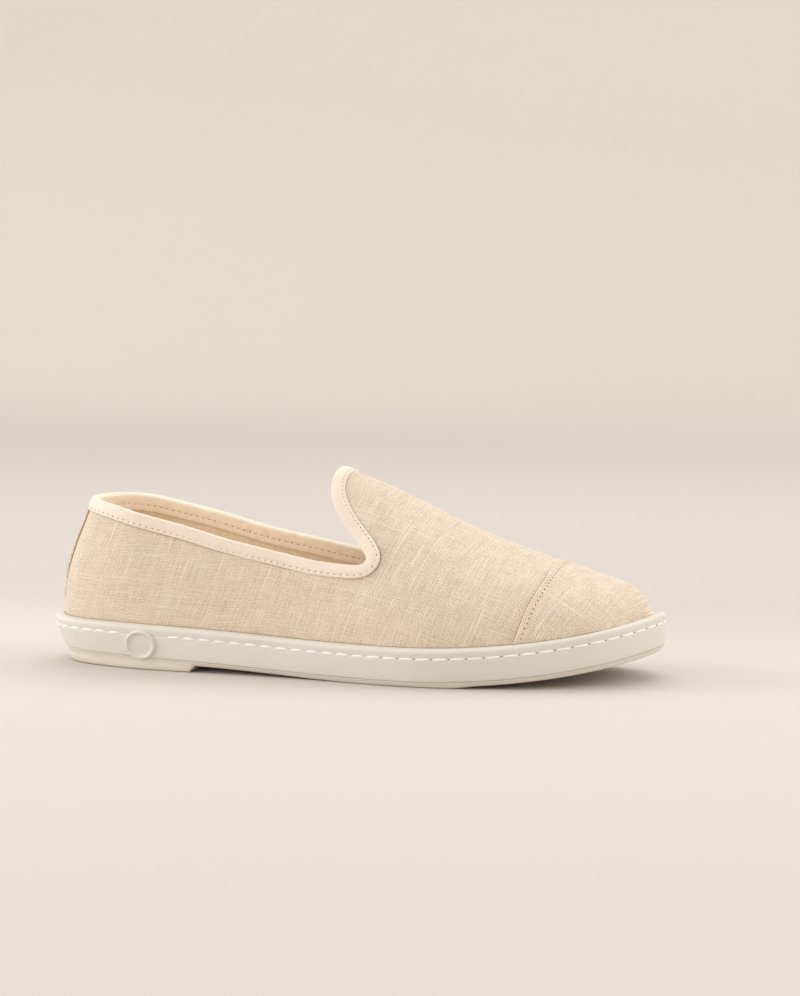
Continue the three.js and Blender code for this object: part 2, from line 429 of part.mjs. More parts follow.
// ---------------------------------------------------------------- plain round badge on the side wall
function badgeSolid() {
  const R = 7.9, x = 55, z = 11.7, y = new Outline((q) => undercut(q) * 0.4).y(x, -1);
  const tilt = Math.atan2(new Outline(() => 0).y(x + 8, -1) - new Outline(() => 0).y(x - 8, -1), 16);
  const lean = 0.1;
  const profile = [[0, 0], [R - 0.4, 0], [R, 0.3], [R, 0.8], [R - 0.5, 1.1], [R - 1.7, 1.1], [R - 2.2, 0.65], [0, 0.65]];
  const g = new THREE.LatheGeometry(profile.map(([a, b]) => new THREE.Vector2(a, b)), 28);
  const m = new THREE.Matrix4().makeTranslation(x, y - GAP - 0.15, z)
    .multiply(new THREE.Matrix4().makeRotationZ(tilt)).multiply(new THREE.Matrix4().makeRotationX(Math.PI + lean)).multiply(new THREE.Matrix4().makeScale(1, 1, 0.86));
  g.applyMatrix4(m);
  const s = new Solid(), pos = g.attributes.position, idx = g.index.array, ids = [];
  for (let i = 0; i < pos.count; i++) ids.push(s.point([pos.getX(i), pos.getY(i), pos.getZ(i)]));
  for (let i = 0; i < idx.length; i += 3) s.face(ids[idx[i]], ids[idx[i + 1]], ids[idx[i + 2]]);
  return s;
}
const badge = badgeSolid();

// ---------------------------------------------------------------- group
const group = new THREE.Group();
group.name = "espadrille";
const pieces = { outsole, cup_sole: cupSole, insole, upper, toe_cap: toeCap, heel_strip: heelStrip, collar_binding: binding, side_badge: badge };
const looks = { outsole: "#d8cdbb", cup_sole: "#e6ddcf", insole: "#cdb393", upper: "#cbb393", toe_cap: "#cbb393", heel_strip: "#c8af8e", collar_binding: "#eadfcd", side_badge: "#e6ddcf" };
const box = new THREE.Box3();
for (const [name, solid] of Object.entries(pieces)) {
  const mesh = new THREE.Mesh(solid.geometry(), new THREE.MeshStandardMaterial({ color: looks[name], roughness: 0.8 }));
  mesh.name = name;
  group.add(mesh);
  box.expandByObject(mesh);
}
const shift = [-(box.min.x + box.max.x) / 2, -(box.min.y + box.max.y) / 2, -box.min.z];
for (const mesh of group.children) mesh.geometry.translate(...shift);
export default group;
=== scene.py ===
"""Looks of a right-foot linen espadrille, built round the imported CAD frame. Millimetres inside, metres in Blender."""
import math

import bpy
import numpy as np
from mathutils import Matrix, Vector


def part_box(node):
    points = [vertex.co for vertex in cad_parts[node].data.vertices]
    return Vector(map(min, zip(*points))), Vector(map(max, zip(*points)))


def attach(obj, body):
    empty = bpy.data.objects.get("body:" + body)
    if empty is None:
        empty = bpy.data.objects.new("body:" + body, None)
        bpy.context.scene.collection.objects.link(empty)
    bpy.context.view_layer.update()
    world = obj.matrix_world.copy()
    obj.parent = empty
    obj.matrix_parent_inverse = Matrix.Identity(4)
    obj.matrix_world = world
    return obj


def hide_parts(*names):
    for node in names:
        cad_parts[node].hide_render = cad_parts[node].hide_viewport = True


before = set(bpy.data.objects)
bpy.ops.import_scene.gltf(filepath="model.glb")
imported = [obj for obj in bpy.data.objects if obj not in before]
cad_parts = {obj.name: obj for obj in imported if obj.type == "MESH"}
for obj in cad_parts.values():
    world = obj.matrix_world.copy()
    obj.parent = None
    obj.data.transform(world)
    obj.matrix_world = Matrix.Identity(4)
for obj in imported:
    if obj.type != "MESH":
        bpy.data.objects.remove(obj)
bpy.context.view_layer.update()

# ------------------------------------------------------------------ named sizes (those of the CAD part)
LENGTH, HEEL_RADIUS, TOE_RADIUS, TIP_Y = 288.0, 28.0, 24.0, 6.5
SIDEWALL, RIM, CUP_FLOOR, FABRIC, GAP, TUCK = 14.7, 4.7, 6.3, 1.6, 0.3, 3.0
CAP_CLOTH, TAPE_WIDTH, TAPE_CLOTH = 0.9, 5.2, 0.9
BREAST_FOOT, BREAST_TOP, BREAST_HEIGHT = 78.7, 81.2, 3.1
BALL_START, BALL_END, SOLE_LAYER = 158.0, 203.0, 2.3
SOLE = [(22, -27.4, 28.2), (50, -34.0, 32.8), (90, -37.2, 32.0), (130, -41.5, 32.6), (165, -48.0, 38.3),
        (195, -51.0, 45.3), (220, -47.7, 48.4), (245, -40.8, 45.9), (265, -30.7, 38.4), (279, -17.3, 27.6)]
SPRING = [(0, 6.9), (57, 5.9), (100, 4.4), (140, 2.8), (165, 2.45), (195, 2.55), (215, 3.4), (245, 6.4), (270, 10.7), (288, 15.1)]
UNDERCUT = [(0, 4.6), (18, 2.9), (42, 1.2), (140, 1.0), (240, 1.0), (288, 0.1)]
INSTEP = [  # x, ridge, y, rise, crown, bulge
    (50, 118, 0, 0.62, 0.62, 1.0), (90, 104, 0, 0.55, 0.6, 1.0), (120, 97, 0, 0.5, 0.58, 1.2), (138, 91.8, 0.2, 0.47, 0.57, 1.4),
    (160, 84.5, 0.8, 0.46, 0.57, 1.6), (185, 72.9, 1.8, 0.46, 0.57, 2.0), (205, 64.1, 2.8, 0.47, 0.58, 2.2),
    (225, 56.6, 3.8, 0.5, 0.56, 2.2), (245, 49.5, 5.0, 0.53, 0.58, 1.8), (262, 43.7, 5.8, 0.56, 0.6, 1.3), (275, 38.3, 6.3, 0.58, 0.6, 0.8)]
NOSE_START, NOSE_BULK, HEEL_JOIN = 205.0, 38.0, 50.0
HEEL_BACK = [(13, 4.7), (23, 4.5), (31, 5.0), (41, 6.6), (51, 9.9), (62.7, 14.8), (72, 18.7), (80, 21.3)]
OPENING = [(30, 74.1), (38, 72.6), (44, 71.25), (47.5, 70.43), (49.6, 69.94), (50.4, 69.76), (52.5, 69.29), (56, 68.54), (63, 67.05),
           (72, 65.1), (92, 60.0), (112, 55.9), (132, 52.2), (148, 50.4),
           (157.5, 50.1), (162.6, 51.2), (164.1, 53.6), (162.9, 56.5), (157.7, 62.0), (149.7, 70.1), (144.0, 77.6), (141.2, 84.2)]
OPENING_BACK_Z, PEAK_X, MEDIAL_LIFT = 75.2, 141.0, 1.3
HEEL_STRIP = [(24, 2.9), (35, 3.9), (45, 6.0), (55, 8.1), (64, 9.1), (70, 9.5)]
CAP_SEAM_X, CAP_SEAM_SWEEP = 241.5, 9.6


# ------------------------------------------------------------------ helpers
def lerp(a, b, t):
    return a + (b - a) * t


def smooth(a, b, v):
    t = np.clip((np.asarray(v, float) - a) / (b - a), 0, 1)
    return t * t * (3 - 2 * t)


def spline(pairs):
    """Natural cubic spline through (input, output) pairs, straight beyond its ends."""
    x = np.array([p[0] for p in pairs], float)
    y = np.array([p[1] for p in pairs], float)
    n, h = len(x), np.diff(x)
    A, r = np.eye(n), np.zeros(n)
    for i in range(1, n - 1):
        A[i, i - 1:i + 2] = h[i - 1], 2 * (h[i - 1] + h[i]), h[i]
        r[i] = 6 * ((y[i + 1] - y[i]) / h[i] - (y[i] - y[i - 1]) / h[i - 1])
    m = np.linalg.solve(A, r)
    s0 = (y[1] - y[0]) / h[0] - h[0] * m[1] / 6
    s1 = (y[-1] - y[-2]) / h[-1] + h[-1] * m[-2] / 6

    def f(t):
        t = np.asarray(t, float)
        c = np.clip(t, x[0], x[-1])
        i = np.clip(np.searchsorted(x, c, side="right") - 1, 0, n - 2)
        a = (x[i + 1] - c) / h[i]
        b = 1 - a
        v = a * y[i] + b * y[i + 1] + ((a ** 3 - a) * m[i] + (b ** 3 - b) * m[i + 1]) * h[i] ** 2 / 6
        return v + np.where(t < x[0], (t - x[0]) * s0, 0) + np.where(t > x[-1], (t - x[-1]) * s1, 0)
    return f


def unit(a):
    return a / np.maximum(np.linalg.norm(a, axis=-1, keepdims=True), 1e-12)


def noise(p, seed=0):
    """Smooth value noise in -1..1 at points (..., 3); the same on every run."""
    p = np.asarray(p, float)
    i = np.floor(p).astype(np.int64)
    f = p - i
    f = f * f * (3 - 2 * f)
    out = np.zeros(p.shape[:-1])
    for c in range(8):
        o = np.array([c & 1, (c >> 1) & 1, (c >> 2) & 1])
        q = i + o
        h = (q[..., 0] * 374761393 + q[..., 1] * 668265263 + q[..., 2] * 2147483647 + seed * 974634777) & 0xFFFFFFFF
        h = ((h ^ (h >> 13)) * 1274126177) & 0xFFFFFFFF
        h = h ^ (h >> 16)
        w = np.prod(np.where(o == 1, f, 1 - f), axis=-1)
        out += w * ((h & 0xFFFF) / 32767.5 - 1)
    return out


# ------------------------------------------------------------------ sole outline
def closing(x):
    return np.sqrt(np.maximum(4 * x * (LENGTH - x), 0)) / LENGTH


middle = spline([(0, 0.4)] + [(r[0], (r[1] + r[2]) / 2) for r in SOLE] + [(LENGTH, TIP_Y)])
breadth = spline([(0, math.sqrt(HEEL_RADIUS * LENGTH / 2))] + [(r[0], (r[2] - r[1]) / 2 / float(closing(np.float64(r[0])))) for r in SOLE]
                 + [(LENGTH, math.sqrt(TOE_RADIUS * LENGTH / 2))])
spring = spline(SPRING)
undercut = spline(UNDERCUT)
PHI = np.linspace(0, math.pi, 4001)


def rim_width(x):
    return RIM + 1.8 * smooth(262, 286, x)


def rim_top(x):
    return spring(x) + SIDEWALL


class Outline:
    """The sole's outline moved in by inset(x)."""

    def __init__(self, inset):
        self.rows = {}
        for side in (-1, 1):
            def at(p):
                x = LENGTH / 2 * (1 - np.cos(p))
                return x, middle(x) + side * np.sin(p) * breadth(x)
            (x, y), (xa, ya), (xb, yb) = at(PHI), at(PHI - 1e-4), at(PHI + 1e-4)
            l = np.hypot(xb - xa, yb - ya)
            d = inset(x) * np.ones_like(x)
            X, Y = x + side * (yb - ya) / l * d, y - side * (xb - xa) / l * d
            self.rows[side] = (np.maximum.accumulate(X + np.arange(len(X)) * 1e-9), Y)
        self.start, self.end = self.rows[1][0][0], self.rows[1][0][-1]

    def y(self, x, side):
        return np.interp(x, *self.rows[side])

    def turn(self, x, side):
        return np.interp(x, self.rows[side][0], np.linspace(0, 1, len(PHI)))

    def at(self, turn, side):
        t = np.linspace(0, 1, len(PHI))
        return np.interp(turn, t, self.rows[side][0]), np.interp(turn, t, self.rows[side][1])


# ------------------------------------------------------------------ form of the upper
foot = Outline(rim_width)
nose_x, heel_x = float(foot.end), float(foot.start)


def foot_z(x):
    return rim_top(x) - TUCK


def nose(x):
    return np.sqrt(np.maximum(0, 1 - np.maximum(0, (np.asarray(x, float) - NOSE_START) / (nose_x - NOSE_START)) ** 2))


inst_y, inst_rise, inst_crown, inst_bulge = [spline([(r[0], r[k]) for r in INSTEP]) for k in (2, 3, 4, 5)]
height = spline([(r[0], float((r[1] - foot_z(r[0])) / nose(r[0]))) for r in INSTEP] + [(nose_x, NOSE_BULK)])
heel_back = spline([(r[0], r[1]) for r in HEEL_BACK])
join_turn = {s: float(foot.turn(HEEL_JOIN, s)) for s in (-1, 1)}
back_y = float(middle(0.0))


def section(x, v):
    x, v = np.broadcast_arrays(np.asarray(x, float), np.asarray(v, float))
    side = np.where(v < 0.5, -1.0, 1.0)
    t = np.where(v < 0.5, 2 * v, 2 * (1 - v))
    yl, ym = foot.y(x, -1), foot.y(x, 1)
    start, base, tall, wide = np.where(side < 0, yl, ym), foot_z(x), height(x) * nose(x), ym - yl
    small = np.clip(wide / 60, 0, 1)
    top = np.minimum(np.maximum(inst_y(x), yl + 0.3 * wide), ym - 0.3 * wide)

    def bez(a, b, c, d):
        return a * (1 - t) ** 3 + 3 * b * t * (1 - t) ** 2 + 3 * c * t * t * (1 - t) + d * t ** 3
    return np.stack([x, bez(start, start + side * inst_bulge(x) * small, top + side * inst_crown(x) * wide / 2, top),
                     base + bez(0 * x, inst_rise(x) * tall, tall, tall)], -1)


def form(p, v):
    """Cloth's outer face: p station from the heel (0) to the nose, v 0 lateral foot, 0.5 ridge, 1 medial foot."""
    p, v = np.broadcast_arrays(np.asarray(p, float), np.asarray(v, float))
    v = np.where(p < 0, 1 - v, v)
    p = np.abs(p)
    w = np.clip(v, 0, 1)
    wall = section(np.clip(p, HEEL_JOIN, nose_x), w)
    heel = p < HEEL_JOIN
    if heel.any():
        side = np.where(w < 0.5, -1, 1)
        q = np.clip(p / HEEL_JOIN, 0, 1)
        bx = np.where(side < 0, foot.at(q * join_turn[-1], -1)[0], foot.at(q * join_turn[1], 1)[0])
        by = np.where(side < 0, foot.at(q * join_turn[-1], -1)[1], foot.at(q * join_turn[1], 1)[1])
        ey = np.where(side < 0, foot.y(HEEL_JOIN, -1), foot.y(HEEL_JOIN, 1))
        z0 = foot_z(HEEL_JOIN)
        xb = heel_back(wall[..., 2])
        x = xb + (HEEL_JOIN - xb) * (bx - heel_x) / (HEEL_JOIN - heel_x)
        drop = (foot_z(x) - z0) * (1 - smooth(0, 30, wall[..., 2] - z0))
        h = np.stack([x, back_y + (by - back_y) / (ey - back_y) * (wall[..., 1] - back_y), wall[..., 2] + drop], -1)
        wall = np.where(heel[..., None], h, wall)
    out = wall.copy()
    out[..., 2] += np.where(v < 0, v * 100, 0) - np.where(v > 1, (v - 1) * 100, 0)
    return out


def slopes(p, v):
    e, ev = 0.05, 0.0008
    hi, lo = np.minimum(p + e, nose_x - 1e-4), np.minimum(p - e, nose_x - 2 * e)
    dp = (form(hi, v) - form(lo, v)) / (hi - lo)[..., None]
    dv = (form(p, v + ev) - form(p, v - ev)) / (2 * ev)
    return dp, dv


def normals(p, v):
    p, v = np.broadcast_arrays(np.asarray(p, float), np.asarray(v, float))
    dp, dv = slopes(np.minimum(p, nose_x - 0.02), v)
    return unit(np.cross(dp, dv))


def bisect(f, lo, hi, target):
    lo, hi = np.broadcast_arrays(np.asarray(lo, float) + 0 * target, np.asarray(hi, float) + 0 * target)
    lo, hi = lo.copy(), hi.copy()
    for _ in range(40):
        m = (lo + hi) / 2
        low = f(m) < target
        lo, hi = np.where(low, m, lo), np.where(low, hi, m)
    return (lo + hi) / 2


def reach(p, z, side):
    p, z = np.broadcast_arrays(np.asarray(p, float), np.asarray(z, float))
    if side < 0:
        return bisect(lambda v: form(p, v)[..., 2], 0.0, 0.5, z)
    return 1 - bisect(lambda v: form(p, 1 - v)[..., 2], 0.0, 0.5, z)


def station_of(x, z, side):
    if x >= HEEL_JOIN:
        return float(x)
    return float(bisect(lambda p: form(p, reach(p, z, side))[..., 0], 0.0, HEEL_JOIN, np.float64(x)))


# ------------------------------------------------------------------ edge of the opening
def edge_rows(side):
    rows = [(0.0, float(reach(0.0, OPENING_BACK_Z, side)))]
    for x, z in OPENING:
        if side > 0:
            z = z + MEDIAL_LIFT * float(smooth(15, 45, x)) * (1 - float(smooth(120, 150, x)))
        p = station_of(x, z, side)
        rows.append((p, float(reach(p, z, side))))
    return rows


lat_rows, med_rows = edge_rows(-1), edge_rows(1)
knots = [(-lat_rows[1][0], lat_rows[1][1])] + lat_rows + [(PEAK_X, 0.5)] + med_rows[::-1] + [(-med_rows[1][0], med_rows[1][1])]
knot_u = [0.0]
for (pa, va), (pb, vb) in zip(knots, knots[1:]):
    knot_u.append(knot_u[-1] + float(np.linalg.norm(form(abs(pb), vb) - form(abs(pa), va))))
edge_p, edge_v = spline([(u, k[0]) for u, k in zip(knot_u, knots)]), spline([(u, k[1]) for u, k in zip(knot_u, knots)])
u_back, u_peak, u_end = knot_u[1], knot_u[len(lat_rows) + 1], knot_u[-2]
_us = np.linspace(lerp(u_back, u_peak, 0.6), u_peak, 4001)
u_lat = float(_us[np.argmax(edge_p(_us))])
_us = np.linspace(u_peak, lerp(u_end, u_peak, 0.6), 4001)
u_med = float(_us[np.argmax(edge_p(_us))])


def edge_run(start, corner, peak, nc, nt):
    f = np.linspace(0, 1, nc + 1)
    collar = lerp(start, corner, 1 - (1 - f) ** 1.35)
    throat = lerp(corner, peak, np.linspace(0, 1, nt + 1) ** 1.25)
    cp, cv, tp, tv = edge_p(collar), edge_v(collar), edge_p(throat), edge_v(throat)
    cp[0], tv[-1] = 0.0, 0.5
    return cp, cv, tp, tv


def upper_grids(nc, nj, nt, nr, na, low):
    """(p, v) grids of the whole cloth: two quarters, tongue, vamp. low: drop of the hidden foot, mm."""
    lp, lv, ltp, ltv = edge_run(u_back, u_lat, u_peak, nc, nt)
    mp, mv, mtp, mtv = edge_run(u_end, u_med, u_peak, nc, nt)
    p0 = max(lp[-1], mp[-1])
    lp[-1] = mp[-1] = p0
    k = np.concatenate([[-1], np.linspace(0, 1, nj + 1)])

    def lift(top):
        return np.where(k[None, :] < 0, -low / 100, top[:, None] * np.maximum(k[None, :], 0))
    lat = (lp[:, None] + 0 * k[None, :], lift(lv))
    med = (mp[:, None] + 0 * k[None, :], 1 - lift(1 - mv))
    med = (med[0][::-1], med[1][::-1])
    tp, tv = np.concatenate([ltp, mtp[::-1][1:]]), np.concatenate([ltv, mtv[::-1][1:]])
    tp[0] = tp[-1] = p0
    r = np.linspace(0, 1, nr + 1)
    tongue = (lerp(tp[None, :], p0, r[:, None]), tv[None, :] + 0 * r[:, None])
    across = np.concatenate([lift(lv[-1:])[0][:-1], tv, (1 - lift(1 - mv[-1:])[0][:-1])[::-1]])
    n = len(across) - 3
    f = np.linspace(0, 1, na + 1)
    pa = lerp(p0, nose_x, np.sin(f * math.pi / 2))
    even = np.clip((np.arange(len(across)) - 1) / n, 0, 1)
    even[0], even[-1] = across[0], across[-1]
    vamp = (pa[:, None] + 0 * across[None, :], lerp(across[None, :], even[None, :], smooth(0, 0.7, f)[:, None]))
    return [lat, med, tongue, vamp]


# arc length over the form from the ridge, at each station, for the direction of the threads
_pa = np.linspace(HEEL_JOIN, nose_x, 120)
_va = np.linspace(0, 1, 241)
_pts = form(_pa[:, None], _va[None, :])
_arc = np.concatenate([np.zeros((120, 1)), np.cumsum(np.linalg.norm(np.diff(_pts, axis=1), axis=-1), axis=1)], axis=1)
_arc -= _arc[:, 120:121]
_hp = np.linspace(0, HEEL_JOIN, 60)
_heel_arc = {}
for _s in (-1, 1):
    _hx, _hy = foot.at(_hp / HEEL_JOIN * join_turn[_s], _s)
    _l = np.concatenate([[0], np.cumsum(np.hypot(np.diff(_hx), np.diff(_hy)))])
    _heel_arc[_s] = _l - _l[-1]


def threads(p, v, q):
    """Cloth coordinates in mm: along the shoe (square to the ridge) and down from the ridge."""
    pc = np.clip(p, HEEL_JOIN, nose_x)
    i = np.clip((pc - HEEL_JOIN) / (nose_x - HEEL_JOIN) * 119, 0, 118.999)
    j = np.clip(v, 0, 1) * 240
    j = np.clip(j, 0, 239.999)
    i0, j0 = i.astype(int), j.astype(int)
    fi, fj = i - i0, j - j0
    V = (_arc[i0, j0] * (1 - fi) * (1 - fj) + _arc[i0 + 1, j0] * fi * (1 - fj) + _arc[i0, j0 + 1] * (1 - fi) * fj + _arc[i0 + 1, j0 + 1] * fi * fj)
    V = V + np.where(v < 0, v * 100, 0) + np.where(v > 1, (v - 1) * 100, 0)
    tall = np.where(v < 0.5, np.interp(pc, _pa, -_arc[:, 0]), np.interp(pc, _pa, _arc[:, -1]))
    at_tongue = np.where(v < 0.5, np.interp(130, _pa, -_arc[:, 0]), np.interp(130, _pa, _arc[:, -1]))
    V = V + np.where(v < 0.5, -1, 1) * (at_tongue - tall) * (1 - smooth(88, 138, pc))
    x = np.where(p < HEEL_JOIN, HEEL_JOIN + np.where(v < 0.5, np.interp(p, _hp, _heel_arc[-1]), np.interp(p, _hp, _heel_arc[1])), q[..., 0])
    return 0.93 * x - 0.36 * q[..., 2], V


# ------------------------------------------------------------------ place of the part in the row's frame
_ring = Outline(lambda x: 0.1)
_c0, _c1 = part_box("cup_sole")
SHIFT = np.array([_c0[0] * 1000 - _ring.start, _c0[1] * 1000 - _ring.rows[-1][1].min(), 0.0])


def to_row(q):
    return (np.asarray(q, float) + SHIFT) * 0.001


class Shape:
    """Collects grids and loose faces in millimetres, then makes one mesh."""

    def __init__(self):
        self.v, self.f, self.uv, self.m, self.n = [], [], [], [], 0

    def add(self, verts, faces, uv=None, slot=0):
        verts = np.asarray(verts, float).reshape(-1, 3)
        faces = np.asarray(faces, int)
        self.v.append(verts)
        self.uv.append(np.zeros((len(verts), 2)) if uv is None else np.asarray(uv, float).reshape(-1, 2))
        self.f.append((faces + self.n, np.full(len(faces), slot)))
        self.n += len(verts)

    def grid(self, P, uv=None, slot=0, flip=False, wrap_rows=False, wrap_cols=False):
        n, m = P.shape[:2]
        i = np.arange(n if wrap_rows else n - 1)
        j = np.arange(m if wrap_cols else m - 1)
        i, j = np.meshgrid(i, j, indexing="ij")
        i2, j2 = (i + 1) % n, (j + 1) % m
        q = np.stack([i * m + j, i2 * m + j, i2 * m + j2, i * m + j2], -1).reshape(-1, 4)
        self.add(P, q[:, ::-1] if flip else q, uv, slot)

    def build(self, name, mats, merge=2e-6, smooth_faces=True, fix=False):
        V = to_row(np.concatenate(self.v))
        UV = np.concatenate(self.uv)
        faces = [tuple(q) for F, _ in self.f for q in F.tolist()]
        slots = [int(s) for _, S in self.f for s in S]
        me = bpy.data.meshes.new(name)
        me.from_pydata(V.tolist(), [], faces)
        layer = me.uv_layers.new(name="cloth")
        loops = np.zeros(len(me.loops), dtype=np.int32)
        me.loops.foreach_get("vertex_index", loops)
        layer.data.foreach_set("uv", (UV[loops] * 0.01).astype(np.float32).ravel())
        me.polygons.foreach_set("material_index", slots)
        for m in mats:
            me.materials.append(m)
        me.polygons.foreach_set("use_smooth", [smooth_faces] * len(me.polygons))
        import bmesh
        bm = bmesh.new()
        bm.from_mesh(me)
        bmesh.ops.remove_doubles(bm, verts=bm.verts, dist=merge)
        bmesh.ops.dissolve_degenerate(bm, edges=bm.edges, dist=1e-7)
        if fix:
            bmesh.ops.recalc_face_normals(bm, faces=bm.faces)
        bm.to_mesh(me)
        bm.free()
        me.validate()
        o = bpy.data.objects.new(name, me)
        bpy.context.scene.collection.objects.link(o)
        return o


# ------------------------------------------------------------------ materials
def material(name, color, rough, sheen=0.0, spec=0.3):
    m = bpy.data.materials.new(name)
    m.use_nodes = True
    t = m.node_tree
    b = t.nodes["Principled BSDF"]
    b.inputs["Base Color"].default_value = (*color, 1)
    b.inputs["Roughness"].default_value = rough
    b.inputs["Specular IOR Level"].default_value = spec
    if sheen:
        b.inputs["Sheen Weight"].default_value = sheen
        b.inputs["Sheen Roughness"].default_value = 0.6
        b.inputs["Sheen Tint"].default_value = (1.0, 0.95, 0.88, 1)
    return m, t, b


class Net:
    """Short way to write node trees."""

    def __init__(self, tree):
        self.t = tree

    def node(self, kind, **set_):
        n = self.t.nodes.new(kind)
        for k, v in set_.items():
            setattr(n, k, v)
        return n

    def put(self, value, socket):
        if isinstance(value, bpy.types.NodeSocket):
            self.t.links.new(value, socket)
        else:
            socket.default_value = value

    def math(self, op, a, b=0.0, c=0.0):
        n = self.node("ShaderNodeMath", operation=op)
        for v, s in zip((a, b, c), n.inputs):
            self.put(v, s)
        return n.outputs[0]

    def mix(self, f, a, b):
        n = self.node("ShaderNodeMix", data_type="RGBA")
        self.put(f, n.inputs[0])
        self.put(a if not isinstance(a, tuple) else (*a, 1), n.inputs[6])
        self.put(b if not isinstance(b, tuple) else (*b, 1), n.inputs[7])
        return n.outputs[2]

    def scaled(self, vec, scale, rot=0.0):
        n = self.node("ShaderNodeMapping")
        self.put(vec, n.inputs[0])
        n.inputs["Rotation"].default_value = (0, 0, rot)
        n.inputs["Scale"].default_value = scale
        return n.outputs[0]

    def noise(self, vec, scale=1.0, detail=2.0, rough=0.5, dim="3D"):
        n = self.node("ShaderNodeTexNoise", noise_dimensions=dim)
        self.put(vec, n.inputs["Vector"])
        n.inputs["Scale"].default_value = scale
        n.inputs["Detail"].default_value = detail
        n.inputs["Roughness"].default_value = rough
        return n.outputs[0]

    def wave(self, vec, direction, scale, distort=0.0):
        n = self.node("ShaderNodeTexWave", wave_type="BANDS", bands_direction=direction, wave_profile="SIN")
        self.put(vec, n.inputs["Vector"])
        n.inputs["Scale"].default_value = scale
        n.inputs["Distortion"].default_value = distort
        n.inputs["Detail"].default_value = 1.0
        return n.outputs["Fac"]

    def ramp(self, f, lo, hi, a=0.0, b=1.0):
        n = self.node("ShaderNodeMapRange", interpolation_type="SMOOTHSTEP")
        for v, s in zip((f, lo, hi, a, b), n.inputs):
            self.put(v, s)
        return n.outputs[0]

    def bump(self, height, distance, strength=1.0, normal=None):
        n = self.node("ShaderNodeBump")
        n.inputs["Strength"].default_value = strength
        n.inputs["Distance"].default_value = distance
        self.put(height, n.inputs["Height"])
        if normal is not None:
            self.put(normal, n.inputs["Normal"])
        return n.outputs[0]


def linen(name, low, high, pale, turn=0.0, offset=0.0, slub=0.52):
    """Plain-woven linen: threads both ways, uneven slubs, fine grain. Cloth coordinates are in units of 100 mm."""
    m, t, b = material(name, high, 0.92, sheen=0.12, spec=0.12)
    w = Net(t)
    uv = w.node("ShaderNodeUVMap", uv_map="cloth").outputs[0]
    if turn or offset:
        mp = w.node("ShaderNodeMapping")
        w.put(uv, mp.inputs[0])
        mp.inputs["Rotation"].default_value = (0, 0, turn)
        mp.inputs["Location"].default_value = (offset, offset * 0.7, 0)
        uv = mp.outputs[0]
    drift = w.noise(w.scaled(uv, (3, 3, 1)), 1.0, 1.0)          # so that no thread runs dead straight
    comb, add = w.node("ShaderNodeCombineXYZ"), w.node("ShaderNodeVectorMath", operation="MULTIPLY_ADD")
    w.put(drift, comb.inputs[0])
    w.put(drift, comb.inputs[1])
    w.put(comb.outputs[0], add.inputs[0])
    add.inputs[1].default_value = (0.010, 0.010, 0)
    w.put(uv, add.inputs[2])
    uv = add.outputs[0]
    across = w.noise(w.scaled(uv, (250, 7, 1)), 1.0, 1.0, 0.5)      # threads running down the side
    along = w.noise(w.scaled(uv, (7, 250, 1)), 1.0, 1.0, 0.5)       # threads running heel to toe
    pick_a = w.ramp(w.noise(w.scaled(uv, (205, 1.1, 1)), 1.0, 0.0), 0.615, 0.650)     # which threads are the thick pale ones
    pick_b = w.ramp(w.noise(w.scaled(uv, (1.1, 205, 1)), 1.0, 0.0), 0.63, 0.665)
    part_a = w.ramp(w.noise(w.scaled(uv, (46, 5.0, 1)), 1.0, 1.0), 0.42, 0.54, 0.15, 1.0)  # and where along them they swell
    part_b = w.ramp(w.noise(w.scaled(uv, (5.0, 46, 1)), 1.0, 1.0), 0.43, 0.56, 0.10, 1.0)
    slub_a, slub_b = w.math("MULTIPLY", pick_a, part_a), w.math("MULTIPLY", pick_b, part_b)
    fine_a = w.ramp(w.noise(w.scaled(uv, (205, 9, 1)), 1.0, 0.0), 0.56, 0.70, 0.0, 0.45)
    fine_b = w.ramp(w.noise(w.scaled(uv, (9, 205, 1)), 1.0, 0.0), 0.58, 0.72, 0.0, 0.40)
    grain = w.noise(w.scaled(uv, (215, 215, 1)), 1.0, 1.0, 0.7)
    warp, weft = w.wave(uv, "X", 47.0, 0.5), w.wave(uv, "Y", 47.0, 0.5)
    weave = w.math("MULTIPLY", w.math("ADD", warp, weft), 0.5)
    blotch = w.noise(w.scaled(uv, (6, 6, 1)), 1.0, 2.0)
    tone = w.math("MULTIPLY", grain, 1.6)
    for v, k in ((across, 0.66), (along, 0.50), (weave, 0.56), (blotch, 0.08)):
        tone = w.math("MULTIPLY_ADD", v, k, tone)
    tone = w.ramp(tone, 1.18, 2.14)
    col = w.mix(tone, low, high)
    slubs = w.math("MAXIMUM", w.math("MAXIMUM", slub_a, w.math("MULTIPLY", slub_b, 0.85)), w.math("MAXIMUM", fine_a, fine_b))
    col = w.mix(w.math("MULTIPLY", slubs, slub), col, pale)
    w.put(col, b.inputs["Base Color"])
    h = w.math("MULTIPLY_ADD", weave, 0.8, w.math("MULTIPLY", slubs, 0.7))
    h = w.math("MULTIPLY_ADD", grain, 0.9, h)
    w.put(w.bump(h, 0.00020, 0.9), b.inputs["Normal"])
    return m


